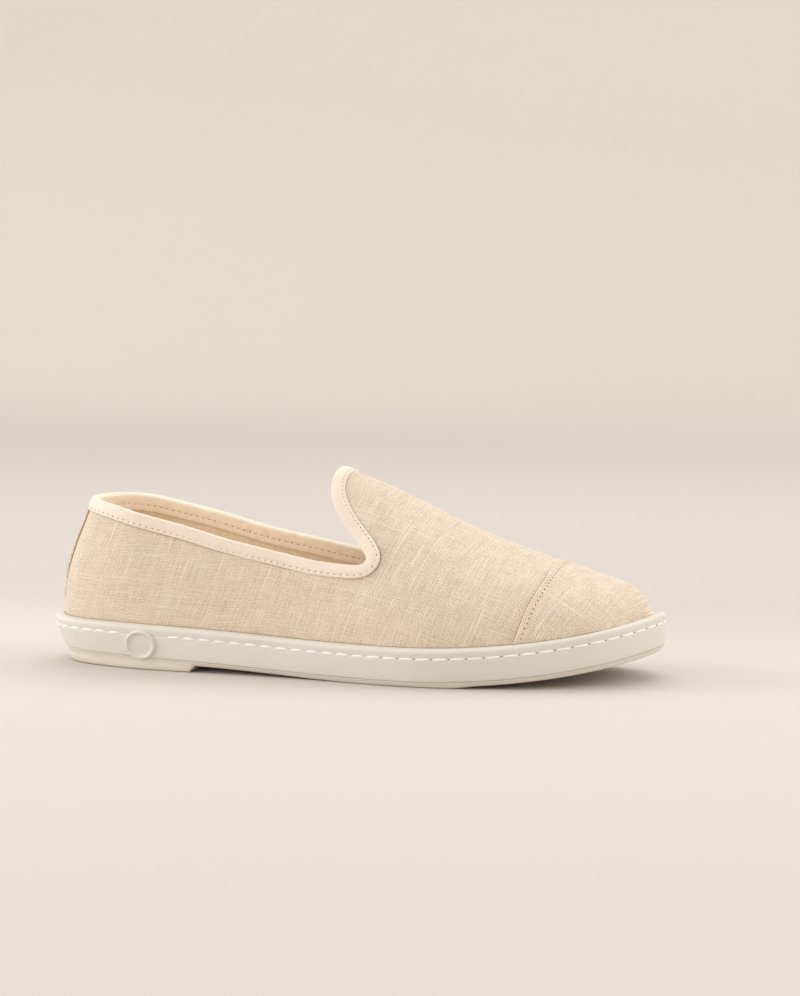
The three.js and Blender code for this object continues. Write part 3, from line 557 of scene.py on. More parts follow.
def tape(name, color, warm, inside, inside_from):
    """Cotton tape; its second cloth coordinate runs over the rim, and the inner leg takes a brighter, warmer colour:
    painted light for the inside of the shoe.
    """
    m, t, b = material(name, color, 0.75, sheen=0.15, spec=0.2)
    w = Net(t)
    obj = w.node("ShaderNodeTexCoord").outputs["Object"]
    uv = w.node("ShaderNodeUVMap", uv_map="cloth").outputs[0]
    sep = w.node("ShaderNodeSeparateXYZ")
    w.put(uv, sep.inputs[0])
    soft = w.noise(obj, 60.0, 3.0)
    col = w.mix(w.ramp(soft, 0.3, 0.7), color, warm)
    mottle = w.noise(w.scaled(uv, (22, 40, 1)), 1.0, 3.0)
    inner = w.mix(w.ramp(mottle, 0.35, 0.7), inside, tuple(c * 0.93 for c in inside))
    col = w.mix(w.ramp(sep.outputs[1], inside_from - 0.012, inside_from + 0.012), col, inner)
    w.put(col, b.inputs["Base Color"])
    rib = w.wave(uv, "X", 60.0, 0.4)
    pucker = w.noise(w.scaled(uv, (36, 9, 1)), 1.0, 2.0)
    h = w.math("ADD", w.math("MULTIPLY", rib, 0.10), pucker)
    w.put(w.bump(h, 0.00035, 0.5), b.inputs["Normal"])
    return m


def rubber(name, color, dusty, rough=0.55):
    m, t, b = material(name, color, rough, spec=0.35)
    w = Net(t)
    obj = w.node("ShaderNodeTexCoord").outputs["Object"]
    cloud = w.noise(obj, 22.0, 3.0)
    speck = w.ramp(w.noise(obj, 620.0, 1.0), 0.70, 0.78)
    col = w.mix(w.ramp(cloud, 0.35, 0.7), color, dusty)
    col = w.mix(w.math("MULTIPLY", speck, 0.12), col, tuple(c * 0.6 for c in color))
    w.put(col, b.inputs["Base Color"])
    w.put(w.ramp(w.noise(obj, 90.0, 3.0), 0.3, 0.7, rough - 0.08, rough + 0.1), b.inputs["Roughness"])
    fine = w.noise(obj, 900.0, 2.0)
    wide = w.noise(obj, 60.0, 2.0)
    w.put(w.bump(w.math("ADD", w.math("MULTIPLY", fine, 0.12), wide), 0.00025, 0.5), b.inputs["Normal"])
    return m, w, b


LINEN_LOW, LINEN_HIGH, LINEN_PALE = (0.50, 0.38, 0.265), (0.885, 0.79, 0.675), (0.955, 0.885, 0.785)
mat_linen = linen("linen", LINEN_LOW, LINEN_HIGH, LINEN_PALE)
mat_cap = linen("linen_cap", LINEN_LOW, LINEN_HIGH, LINEN_PALE, turn=math.radians(9), offset=0.83)
mat_strip = linen("linen_strip", LINEN_LOW, LINEN_HIGH, LINEN_PALE, turn=math.radians(2), offset=1.9)
# the lining's own tan, raised close to full brightness as painted light for the inside of the shoe
mat_lining = linen("lining", (0.86, 0.68, 0.48), (0.99, 0.88, 0.70), (0.99, 0.92, 0.80), turn=math.radians(-4), offset=3.1, slub=0.4)
mat_sole, _, _ = rubber("sole_rubber", (0.74, 0.706, 0.655), (0.715, 0.676, 0.618))
mat_outsole, _, _ = rubber("outsole_rubber", (0.80, 0.755, 0.68), (0.77, 0.72, 0.64), 0.6)
mat_thread, _, _ = material("thread", (0.96, 0.945, 0.91), 0.6, sheen=0.15)
mat_tape_thread, _, _ = material("tape_thread", (0.88, 0.79, 0.66), 0.7)
# painted shade: the dark colour of the needle-hole spots
mat_hole_shade, _, _ = material("needle_hole_shade", (0.22, 0.145, 0.08), 0.9)
# painted shade: the dark colour of the thin bands along folded edges and seams
mat_crease_shade, _, _ = material("crease_painted_shade", (0.33, 0.225, 0.135), 0.95)
mat_contact, _, _ = material("contact_shade", (0.40, 0.30, 0.205), 0.95)
mat_insole = linen("footbed", (0.80, 0.65, 0.48), (0.94, 0.83, 0.67), (0.97, 0.89, 0.77), turn=0.4, offset=5.0, slub=0.3)


# ------------------------------------------------------------------ cloth: soft undulation, puckers and creases
CREASES = [  # soft troughs (minus) and ridges (plus), listed: path in side view, half width, depth, side
    ([(167, 52), (178, 43), (190, 36)], 6.0, -0.55, -1),
    ([(170, 60), (186, 52), (203, 43)], 6.5, -0.45, -1),
    ([(166, 47), (170, 38), (172, 30)], 6.0, 0.35, -1),
    ([(186, 34), (200, 29), (214, 26)], 6.0, -0.35, -1),
    ([(120, 44), (134, 36), (146, 30)], 9.0, -0.40, -1),
    ([(30, 60), (28, 48), (25, 36)], 7.0, -0.35, -1),
    ([(62, 50), (76, 40), (88, 30)], 10.0, -0.35, -1),
    ([(252, 42), (262, 36), (268, 32)], 6.0, -0.25, -1),
    ([(167, 52), (180, 44), (193, 38)], 6.5, -0.5, 1),
    ([(170, 60), (188, 52), (206, 44)], 7.0, -0.45, 1),
    ([(60, 52), (80, 42), (98, 33)], 9.0, -0.35, 1),
    ([(26, 60), (24, 46), (22, 36)], 7.0, -0.3, 1),
]


def near_path(q, path):
    best = np.full(q.shape[:-1], 1e9)
    for a, b in zip(path, path[1:]):
        a, b = np.array(a, float), np.array(b, float)
        d = b - a
        r = q[..., [0, 2]] - a
        t = np.clip((r @ d) / (d @ d), 0, 1)
        best = np.minimum(best, np.linalg.norm(r - t[..., None] * d, axis=-1))
    return best


def relief(p, v, q):
    """Height of the cloth over its smooth form, mm."""
    d = 0.32 * noise(q / 34.0, 1) + 0.16 * noise(q / 15.0, 2) + 0.05 * noise(q / 6.0, 3)
    over = q[..., 2] - rim_top(q[..., 0])
    d = d + 0.34 * np.exp(-np.maximum(over, 0) / 6.0) * noise(q / np.array([7.0, 7.0, 22.0]), 4)
    for path, half, depth, side in CREASES:
        s = q[..., 1] * side > 0
        d = d + np.where(s, depth * np.exp(-(near_path(q, path) / half) ** 2), 0)
    return d * smooth(-2.0, 3.0, over)


def cloth_points(p, v, offset):
    q, n = form(p, v), normals(p, v)
    return q + n * (offset + relief(p, v, q))[..., None]


up = Shape()
for P, V in upper_grids(190, 54, 44, 26, 130, 5.0):
    up.grid(cloth_points(P, V, 0.0), np.stack(threads(P, V, form(P, V)), -1))
upper = up.build("upper_cloth", [mat_linen])
ins = Shape()
for P, V in upper_grids(100, 26, 24, 14, 70, 5.0):
    ins.grid(cloth_points(P, V, -FABRIC), np.stack(threads(P, V, form(P, V)), -1), flip=True)
lining = ins.build("upper_lining", [mat_lining])


# ------------------------------------------------------------------ binding, walked over the form from its edge
def walk(p, v, direction, steps, h):
    """(p, v) after each of `steps` steps of h mm, with the way down at each."""
    p, v, d = p.copy(), v.copy(), direction.copy()
    out = [(p.copy(), v.copy())]
    for _ in range(steps):
        dp, dv = slopes(np.abs(p), np.where(p < 0, 1 - v, v))
        n = unit(np.cross(dp, dv))
        d = unit(d - (d * n).sum(-1, keepdims=True) * n)
        a, b, c = (dp * dp).sum(-1), (dp * dv).sum(-1), (dv * dv).sum(-1)
        r, s = (dp * d).sum(-1), (dv * d).sum(-1)
        det = a * c - b * b
        p, v = p + (r * c - s * b) / det * h, v + (a * s - b * r) / det * h
        flip = p < 0
        p, v = np.abs(p), np.where(flip, 1 - v, v)
        out.append((p.copy(), v.copy()))
    return out


def loop_stations(count):
    u = np.linspace(u_back, u_end, 6001)
    q = form(np.maximum(edge_p(u), 0), edge_v(u))
    s = np.concatenate([[0], np.cumsum(np.linalg.norm(np.diff(q, axis=0), axis=1))])
    su = np.interp(np.linspace(0, s[-1], count + 1)[:-1], s, u)
    return np.maximum(edge_p(su), 0), edge_v(su), s[-1]


LOOP = 620
loop_p, loop_v, loop_length = loop_stations(LOOP)
loop_q, loop_n = form(loop_p, loop_v), normals(loop_p, loop_v)
tangent = unit(np.roll(loop_q, -1, 0) - np.roll(loop_q, 1, 0))
for _ in range(3):
    tangent = unit(np.roll(tangent, 1, 0) + tangent * 2 + np.roll(tangent, -1, 0))
down = unit(np.cross(tangent, loop_n))
STEP = 0.2
trail = walk(loop_p, loop_v, down, int((TAPE_WIDTH + 2.6) / STEP), STEP)


def over_edge(dist, high):
    """Points at distance dist down the cloth from its edge and height high over it, all round the loop."""
    if dist <= 0:
        return loop_q + down * dist + loop_n * np.asarray(high)[..., None] * np.ones((LOOP, 1))
    i = min(int(round(dist / STEP)), len(trail) - 1)
    p, v = trail[i]
    return form(p, v) + normals(p, v) * (np.asarray(high) * np.ones(LOOP))[:, None]


# needle holes: wider apart along the collar than round the tongue
loop_s = np.arange(LOOP) / LOOP * loop_length
on_tongue = smooth(51.5, 60.0, loop_q[:, 2]) * smooth(120, 132, loop_q[:, 0])
gaps = lerp(3.05, 2.2, on_tongue)
run = np.concatenate([[0], np.cumsum(loop_length / LOOP / gaps)])
tape_count = int(round(run[-1]))
run *= tape_count / run[-1]
phase = run[:-1] * 2 * math.pi
tape_holes = np.interp(np.arange(tape_count), run, np.append(loop_s, loop_length))
tape_mids = np.interp(np.arange(tape_count) + 0.5, run, np.append(loop_s, loop_length))
tape_gaps = np.diff(np.append(tape_holes, loop_length + tape_holes[0]))
puff = 0.5 - 0.5 * np.cos(phase)              # 0 at a needle hole, 1 between holes
wobble = noise(np.stack([loop_s / 9.0, 0 * phase, 0 * phase], -1), 9) * 0.10
ROW_OUT, ROW_IN, INNER_WIDTH = TAPE_WIDTH - 1.4, TAPE_WIDTH - 1.4, TAPE_WIDTH + 1.8
i0 = -FABRIC - GAP + 0.25
profile = []   # distance down, height, how far the stitches pull it in
for d in (0.0, 0.25, 0.55, 0.85, 1.1, 1.4, 1.7, 2.0, 2.5, 3.2, 4.0, 4.8, TAPE_WIDTH):      # outer leg, from its lower edge up
    dist = TAPE_WIDTH - d
    swell = 1.08 + 0.32 * math.sin(math.pi * min(d / TAPE_WIDTH, 1)) - (0.50 if d == 0 else 0.12 if d == 0.25 else 0)
    pull = 0.36 * math.exp(-((dist - ROW_OUT) / 0.45) ** 2)
    profile.append((dist, swell, pull))
for a in (25, 50, 75, 90, 105, 130, 155):                                            # over the top
    mid, half = (1.2 + i0 - TAPE_CLOTH) / 2, (1.2 - i0 + TAPE_CLOTH) / 2
    profile.append((-1.32 * math.sin(math.radians(a)), mid + half * math.cos(math.radians(a)), 0.0))
for dist in (0.0, 0.8, 1.6, 2.4, 3.0, 3.4, 3.8, 4.2, 4.6, 5.4, 6.2, 6.7, INNER_WIDTH):             # inner leg, down again
    pull = -0.30 * math.exp(-((dist - ROW_IN) / 0.5) ** 2)
    profile.append((dist, i0 - TAPE_CLOTH - 0.15 * math.sin(math.pi * dist / INNER_WIDTH) + (0.45 if dist == INNER_WIDTH else 0), pull))
rows = [over_edge(TAPE_WIDTH - 0.05, 0.02)]
for dist, high, pull in profile:
    edge_wave = wobble * (1 if abs(dist - TAPE_WIDTH) < 0.8 else 0.5)
    fold = 0.16 * noise(np.stack([loop_s / 4.2, 0 * loop_s + 4.5, 0 * loop_s + dist / 9.0], -1), 11) * math.exp(-((dist - 2.0) / 3.0) ** 2) if high < 0 else 0.0
    rows.append(over_edge(dist, high - pull * (0.55 + 0.45 * (1 - puff)) + edge_wave * (0.5 if high > 0 else -0.5) + fold))
rows.append(over_edge(INNER_WIDTH - 0.05, -FABRIC))
B = np.stack(rows, 1)
around = np.concatenate([[0], np.cumsum(np.linalg.norm(np.diff(B[40], axis=0), axis=1))])
bind = Shape()
bind.grid(B, np.stack([loop_s[:, None] + 0 * around[None, :], around[None, :] + 0 * loop_s[:, None]], -1), wrap_rows=True)
rim_mark = around[1 + 13 + 4] * 0.01
# the third colour, for the inner leg, is brighter and warmer than the outer: painted light inside the shoe
mat_tape = tape("binding_tape", (0.835, 0.75, 0.66), (0.775, 0.68, 0.58), (0.99, 0.85, 0.68), rim_mark)
binding = bind.build("collar_binding_tape", [mat_tape], fix=True)


# ------------------------------------------------------------------ thread: stitches and needle holes
def line(q, n, closed=False):
    """Reader of points and outward directions along a line, by length from its start."""
    if closed:
        q, n = np.vstack([q, q[:1]]), np.vstack([n, n[:1]])
    s = np.concatenate([[0], np.cumsum(np.linalg.norm(np.diff(q, axis=0), axis=1))])

    def read(t):
        t = np.mod(t, s[-1]) if closed else np.clip(t, 0, s[-1])
        return np.stack([np.interp(t, s, q[:, k]) for k in range(3)], -1), unit(np.stack([np.interp(t, s, n[:, k]) for k in range(3)], -1))
    return read, s[-1]


def stitches(shape, read, mids, lengths, radius, sink, slot=0, flat=0.8, wander=0.0, power=3.2):
    """Rounded thread lying along a line, one piece per stitch, its ends diving into the cloth."""
    t = np.linspace(-1, 1, 9)
    ang = np.linspace(0, 2 * math.pi, 8, endpoint=False)
    for k, (mid, length) in enumerate(zip(mids, np.broadcast_to(lengths, np.shape(mids)))):
        jig = noise(np.array([k * 1.7, 3.1, 0.5]), 21) * wander
        size = radius * (1 + 0.12 * noise(np.array([k * 2.3, 7.7, 0.5]), 22))
        c, nn = read(mid + t * length / 2)
        tan = unit(np.gradient(c, axis=0))
        side = unit(np.cross(nn, tan))
        r = size * np.maximum(1 - np.abs(t) ** power, 0.0) ** 0.55 + 0.02
        lift = -sink * np.abs(t) ** 3 + size * 0.35
        ring = (c + nn * lift[:, None] + side * (jig * t)[:, None])[:, None, :] + r[:, None, None] * (
            np.cos(ang)[None, :, None] * side[:, None, :] + flat * np.sin(ang)[None, :, None] * nn[:, None, :])
        shape.grid(ring, slot=slot, wrap_cols=True)


def holes(shape, read, spots, radius, slot=0, stretch=1.3):
    """Small dark spots where the needle went through; their dark colour is painted shade for the hole."""
    ang = np.linspace(0, 2 * math.pi, 10, endpoint=False)
    c, nn = read(np.asarray(spots))
    tan = unit(read(np.asarray(spots) + 0.3)[0] - read(np.asarray(spots) - 0.3)[0])
    for k in range(len(spots)):
        side = np.cross(nn[k], tan[k])
        rings = []
        for rr, hh in ((1.0, -0.12), (0.85, 0.06), (0.4, 0.10), (0.02, 0.11)):
            rings.append(c[k] + nn[k] * hh + radius * rr * (stretch * np.cos(ang)[:, None] * tan[k] + np.sin(ang)[:, None] * side))
        shape.grid(np.array(rings), slot=slot, wrap_cols=True)


thread = Shape()
out_high = 1.08 + 0.32 * math.sin(math.pi * 1.4 / TAPE_WIDTH) - 0.36 * 0.8
read, total = line(over_edge(ROW_OUT, out_high), normals(*trail[int(round(ROW_OUT / STEP))]), closed=True)
k_out = total / loop_length
stitches(thread, read, tape_mids * k_out, tape_gaps * 0.66, 0.24, 0.28)
holes(thread, read, tape_holes * k_out, 0.34, slot=1, stretch=1.15)
read, total = line(over_edge(ROW_IN, i0 - TAPE_CLOTH + 0.10), -normals(*trail[int(round(ROW_IN / STEP))]), closed=True)
k_in = total / loop_length
stitches(thread, read, tape_mids * k_in, tape_gaps * 0.66, 0.24, 0.28)
holes(thread, read, tape_holes * k_in, 0.36, slot=1, stretch=1.15)
# painted shadow: a thin dark ribbon just under the binding's lower edge
thread.grid(np.stack([over_edge(TAPE_WIDTH + 0.22, 0.05), over_edge(TAPE_WIDTH + 0.16, 0.14), over_edge(TAPE_WIDTH - 0.1, 0.20)], 0), slot=2, wrap_cols=True)
tape_thread = thread.build("binding_stitches", [mat_tape_thread, mat_hole_shade, mat_crease_shade], fix=True)

# ------------------------------------------------------------------ toe cap: folded edge, standing a little proud
def cap_foot(p, side):
    return reach(p, rim_top(p) + 0.15, side)


cap_nose = float(bisect(lambda p: -(form(p, 0.5)[..., 2] - rim_top(p) - 0.15), NOSE_START, nose_x, np.float64(0.0)))
NA, NF = 84, 140
f = np.linspace(0, 1, NF + 1)
g = np.linspace(0, 1, NA + 1)
seam = CAP_SEAM_X - CAP_SEAM_SWEEP * np.abs(2 * f - 1) ** 1.9 + 0.25 * noise(np.stack([f * 14, 0 * f, 0 * f], -1), 31)
CP = lerp(seam[None, :], cap_nose, np.sin(g[:, None] ** 1.35 * math.pi / 2))
CP[-1] = cap_nose
lo, hi = cap_foot(CP, -1), cap_foot(CP, 1)
CV = lerp(lo, hi, f[None, :])
CV[-1] = 0.5
cq, cn = form(CP, CV), normals(CP, CV)
from_seam = CP - seam[None, :]
fold = np.sqrt(np.clip(1 - (1 - np.clip(from_seam / 0.6, 0, 1)) ** 2, 0, 1))
pad = 0.28 * np.exp(-((from_seam - 1.2) / 1.0) ** 2) - 0.24 * np.exp(-((from_seam - 2.8) / 0.5) ** 2)
thick = 0.15 + (GAP + CAP_CLOTH - 0.2) * fold + pad
cap_pts = cq + cn * (thick + relief(CP, CV, cq))[..., None]
capS = Shape()
U, W = threads(CP, CV, cq)
capS.grid(cap_pts, np.stack([U, W], -1))
under = cq + cn * (-0.3)
capS.grid(np.stack([under[0], cap_pts[0]], 0), np.stack([np.stack([U[0] - 1.5, W[0]], -1), np.stack([U[0], W[0]], -1)], 0))
toe_cap = capS.build("toe_cap_cloth", [mat_cap])
# its row of stitches
cs = Shape()
vline = np.linspace(0.012, 0.988, 500)


def seam_line(ahead, high):
    sx = CAP_SEAM_X - CAP_SEAM_SWEEP * np.abs(2 * vline - 1) ** 1.9 + 0.25 * noise(np.stack([vline * 14, 0 * vline, 0 * vline], -1), 31) + ahead
    vv = lerp(cap_foot(sx, -1), cap_foot(sx, 1), vline)
    sq, sn = form(sx, vv), normals(sx, vv)
    return sq + sn * (high + relief(sx, vv, sq))[..., None], sn


read, total = line(*seam_line(2.8, GAP + CAP_CLOTH - 0.22))
spots = np.arange(0.6, total, 2.4)
stitches(cs, read, spots[:-1] + 1.2, 1.5, 0.20, 0.26)
holes(cs, read, spots, 0.33, slot=1, stretch=1.25)
# painted shadow: a thin dark ribbon along the vamp side of the cap's folded edge
cs.grid(np.stack([seam_line(-0.30, 0.03)[0], seam_line(-0.22, 0.14)[0], seam_line(0.06, 0.20)[0]], 0), slot=2)
cap_thread = cs.build("toe_cap_stitches", [mat_tape_thread, mat_hole_shade, mat_crease_shade], fix=True)

# ------------------------------------------------------------------ strip up the back seam
strip_half = spline(HEEL_STRIP)
NU, NS = 90, 40
z = np.linspace(float(rim_top(3.0)) + 0.2, OPENING_BACK_Z - TAPE_WIDTH + 1.2, NU + 1)
k = np.linspace(-1, 1, NS + 1)
SP, SV = np.zeros((NU + 1, NS + 1)), np.zeros((NU + 1, NS + 1))
for side in (-1, 1):
    cols = np.where(k * side > 0)[0]
    zz = np.repeat(z[:, None], len(cols), 1)
    want = np.abs(k[cols])[None, :] * strip_half(zz)
    SP[:, cols] = bisect(lambda p: np.abs(form(p, reach(p, zz, side))[..., 1] - back_y), 0.0, 25.0, want)
    SV[:, cols] = reach(SP[:, cols], zz, side)
mid = np.where(k == 0)[0] if (k == 0).any() else np.array([NS // 2])
SP[:, mid] = 0.0
SV[:, mid] = reach(0.0, z, -1)[:, None]
hq, hn = form(SP, SV), normals(SP, SV)
edge_in = (1 - np.abs(k))[None, :] * strip_half(z)[:, None]
fold = np.sqrt(np.clip(1 - (1 - np.clip(edge_in / 0.6, 0, 1)) ** 2, 0, 1))
h = 0.12 + (GAP + CAP_CLOTH + 0.1) * fold - 0.18 * np.exp(-((edge_in - 1.7) / 0.4) ** 2)
crown = smooth(0, 7, z - z[0]) * (1 - smooth(z[-1] - 10, z[-1] - 2.5, z))     # padded by the seam under it
h = h + 0.75 * crown[:, None] * (1 - (k ** 2)[None, :]) ** 0.6 * fold
hp = hq + hn * (h + relief(SP, SV, hq))[..., None]
ss = Shape()
suv = np.stack([k[None, :] * strip_half(z)[:, None], z[:, None] + 0 * k[None, :]], -1)
ss.grid(hp, suv, flip=False)
for c in (0, -1):
    ss.grid(np.stack([hq[:, c] - hn[:, c] * 0.3, hp[:, c]], 1), np.stack([suv[:, c], suv[:, c]], 1), flip=c == -1)
for side in (-1, 1):                       # painted shade: a dark band along each folded edge, where the fold's face is in shade
    zz = z.copy()
    lines = []
    for off, high in ((0.95, 0.04), (0.32, 0.22), (0.03, 0.60), (0.0, 0.72)):
        pp = bisect(lambda p: np.abs(form(p, reach(p, zz, side))[..., 1] - back_y), 0.0, 27.0, strip_half(zz) + off)
        vv = reach(pp, zz, side)
        qq = form(pp, vv)
        lines.append(qq + normals(pp, vv) * (high + relief(pp, vv, qq))[..., None])
    ss.grid(np.stack(lines, 0), slot=1)
heel_strip = ss.build("heel_strip_cloth", [mat_strip, mat_crease_shade], fix=True)


# ------------------------------------------------------------------ sole
def stations(o, nh=36, nf=110):
    a = np.arange(nh + 1) / nh
    b = np.arange(nf + 1) / nf
    return np.concatenate([lerp(BREAST_FOOT, o.start, np.cos(a * math.pi / 2)), lerp(BREAST_TOP, o.end, np.sin(b * math.pi / 2))])


def stack(shape, levels, close_first=None, close_last=None, slot=0, fine=None):
    rings, sides = [], []
    for inset, zf in levels:
        o = Outline(inset if callable(inset) else (lambda x, c=inset: c))
        xs = stations(o, *fine) if fine else stations(o)
        yl, ym = o.y(xs, -1), o.y(xs, 1)
        yl[0] = ym[0] = middle(0.0)
        yl[-1] = ym[-1] = middle(LENGTH)
        zz = zf(xs)
        lat, med = np.stack([xs, yl, zz], -1), np.stack([xs, ym, zz], -1)
        sides.append((lat, med))
        rings.append(np.vstack([lat, med[1:-1][::-1]]))
    R = np.stack(rings, 0)
    shape.grid(R, slot=slot, wrap_cols=True)
    for which, bend in ((0, close_first), (-1, close_last)):
        if bend is None:
            continue
        lat, med = sides[which]
        t = np.linspace(0, 1, (111 if which == 0 else 7) if fine else 15)
        G = lat[:, None, :] * (1 - t)[None, :, None] + med[:, None, :] * t[None, :, None]
        G[..., 2] += bend(G[..., 0], G[..., 1], t[None, :]) if fine and which == 0 else bend(G[..., 0]) * (1 - (2 * t - 1) ** 4)[None, :]
        shape.grid(G, slot=slot)


def lev(c, a, h, base=spring):
    """Ring moved in by c times the undercut plus a, h above the underside of the side wall."""
    return (lambda x: undercut(x) * c + a, lambda x: base(x) + h)


def shelf(k, a, h):
    return (lambda x: rim_width(x) * k + a, lambda x: spring(x) + h)


cup = Shape()
GROOVE = SIDEWALL - 4.45
stack(cup, [
    lev(1, 0.9, -0.05), lev(1, 0.5, 0.0), lev(1, 0.2, 0.2), lev(0.98, 0.06, 0.55), lev(0.95, 0.0, 1.0), lev(0.80, 0.02, 2.4), lev(0.64, 0.04, 3.8),
    lev(0.48, 0.07, 5.4), lev(0.33, 0.10, 7.0), lev(0.20, 0.12, 8.6), lev(0.10, 0.14, GROOVE - 0.9), lev(0.09, 0.20, GROOVE - 0.6), lev(0.08, 0.38, GROOVE - 0.3),
    lev(0.07, 0.44, GROOVE), lev(0.06, 0.40, GROOVE + 0.3), lev(0.05, 0.26, GROOVE + 0.6), lev(0.04, 0.22, GROOVE + 0.9), lev(0.02, 0.13, GROOVE + 1.5),
    lev(0, 0.03, 12.3), lev(0, 0.0, 12.85), lev(0, 0.10, 13.35), lev(0, 0.36, 13.8), lev(0, 0.8, 14.15), shelf(0.30, 0, 14.38), shelf(0.45, 0, 14.52), shelf(0.64, 0, 14.64),
    shelf(0.81, 0, 14.70), shelf(1, -0.35, 14.66), shelf(1, -0.08, 14.3), shelf(1, -0.05, 12.2), shelf(1, -0.3, CUP_FLOOR + 1.0), shelf(1, -0.3, CUP_FLOOR)],
    close_first=lambda x: 0 * x, close_last=lambda x: 0 * x)
for side in (-1, 1):
    fp = np.concatenate([np.linspace(0, HEEL_JOIN, 50), np.linspace(HEEL_JOIN, CAP_SEAM_X - CAP_SEAM_SWEEP, 160)[1:]])
    fx = form(fp, np.full(len(fp), 0.0 if side < 0 else 1.0))[:, 0]
    fv = reach(fp, rim_top(fx) + 0.22, side)
    at, out_n = form(fp, fv), unit(normals(fp, fv) * np.array([1, 1, 0]))
    top_row, low_row = at + out_n * 0.10, at + out_n * 0.42
    low_row[:, 2] = rim_top(fx) + 0.03
    cup.grid(np.stack([top_row, low_row], 0), slot=1)
cup_sole = cup.build("cup_sole_rubber", [mat_sole, mat_contact], fix=True)


def underside(x):
    x = np.asarray(x, float)
    layer = np.maximum(0, spring(x) - SOLE_LAYER)
    arch = BREAST_HEIGHT * (1 - smooth(BREAST_TOP - 12, BALL_START + 4, x))
    return np.where(x <= BREAST_FOOT, 0, np.where(x < BALL_START, arch, np.where(x <= BALL_END, 0, layer * smooth(BALL_END, BALL_END + 14, x))))


def tuck(x):
    return 1.9 * (1 - smooth(5, 60, x))


def tread(k, a, h, base):
    return (lambda x: undercut(x) + k * tuck(x) + a, lambda x: lerp(underside(x), spring(x) - 0.3, base) + h)


def ribs(x, y, t):
    """Zigzag grooves cut up into the heel and the forefoot, a plain band left along the edge and under the arch."""
    zig = np.abs((y / 17.0) % 1 - 0.5) * 2
    wave = np.abs(((x + 4.2 * zig) / 4.6) % 1 - 0.5) * 2
    cut = smooth(0.50, 0.72, wave) * smooth(0.05, 0.085, t) * (1 - smooth(0.915, 0.95, t))
    heel = smooth(7, 9.5, x) * (1 - smooth(BREAST_FOOT - 6.5, BREAST_FOOT - 4, x))
    fore = smooth(BALL_START - 14, BALL_START - 11, x) * (1 - smooth(272, 275, x))
    return 0.55 * cut * np.maximum(heel, fore)


out = Shape()
stack(out, [
    tread(1.1, 3.6, 0, 0), tread(1.0, 2.6, 0, 0), tread(0.86, 1.9, 0.14, 0), tread(0.7, 1.45, 0.5, 0), tread(0.56, 1.15, 0.9, 0), tread(0.36, 0.9, 0.35, 0.5),
    tread(0.1, 0.6, -0.25, 1), tread(0, 0.35, -0.05, 1), tread(0, 0.42, 0.12, 1), tread(0, 0.9, 0.24, 1), tread(0, 1.8, 0.26, 1)],
    close_first=ribs, close_last=lambda x: 0 * x, fine=(110, 420))
outsole = out.build("outsole_rubber_layer", [mat_outsole], fix=True)

bed = Shape()
stack(bed, [
    shelf(1, FABRIC + 1.2, CUP_FLOOR + 0.05), shelf(1, FABRIC + 0.4, CUP_FLOOR + 0.8), shelf(1, FABRIC + 0.3, CUP_FLOOR + 3.2),
    shelf(1, FABRIC + 0.6, CUP_FLOOR + 3.9), shelf(1, FABRIC + 1.4, CUP_FLOOR + 4.3), shelf(1, FABRIC + 3.5, CUP_FLOOR + 4.35)],
    close_first=lambda x: 0 * x, close_last=lambda x: -1.2 * smooth(0, 30, x) * (1 - smooth(250, 285, x)))
insole = bed.build("footbed_cloth", [mat_insole], fix=True)

# side-wall stitching: long thread in the groove, a hole between stitches (a spot of painted shade), left off beside the
# badge
BADGE_X = 55.0
o = Outline(lambda x: undercut(x) * 0.07 + 0.34)
lat_x = np.concatenate([np.linspace(0, 1, 900) ** 1.6 * 60 + o.start, np.linspace(60, o.end - 30, 900)[1:] + 0.0, (o.end - 30 + 30 * np.sin(np.linspace(0, 1, 400) * math.pi / 2))[1:]])
lat_x = np.unique(np.clip(lat_x, o.start, o.end))
ring_l = np.stack([lat_x, o.y(lat_x, -1), spring(lat_x) + GROOVE], -1)
ring_m = np.stack([lat_x, o.y(lat_x, 1), spring(lat_x) + GROOVE], -1)
ring = np.vstack([ring_l, ring_m[::-1][1:-1]])
tan = unit(np.roll(ring, -1, 0) - np.roll(ring, 1, 0))
rn = unit(np.cross(tan, np.array([0, 0, 1.0])))
if rn[len(ring_l) // 2][1] > 0:
    rn = -rn
arc = np.concatenate([[0], np.cumsum(np.linalg.norm(np.diff(ring, axis=0), axis=1))])
s_badge = float(np.interp(BADGE_X, ring_l[:, 0], arc[:len(ring_l)]))
side = Shape()
read, total = line(ring, rn, closed=True)
n_side = int(round(total / 7.7))
pitch = total / n_side
mids, spots = (np.arange(n_side) + 0.5) * pitch - 1.2, np.arange(n_side) * pitch - 1.2
half = len(ring_l)
s_turn = float(np.interp(168.0, ring_l[:, 0], arc[:half]))
mids = mids[np.abs(mids - s_badge) > 10.6]
stitches(side, read, mids[mids < s_turn], 6.3, 0.50, 0.45, flat=0.8, wander=0.16, power=2.2)
stitches(side, read, mids[mids >= s_turn], 6.9, 0.48, 0.50, flat=0.75, wander=0.12)
holes(side, read, spots[spots > s_turn], 0.29, slot=1, stretch=1.1)
side_stitches = side.build("side_wall_stitches", [mat_thread, mat_hole_shade], fix=True)

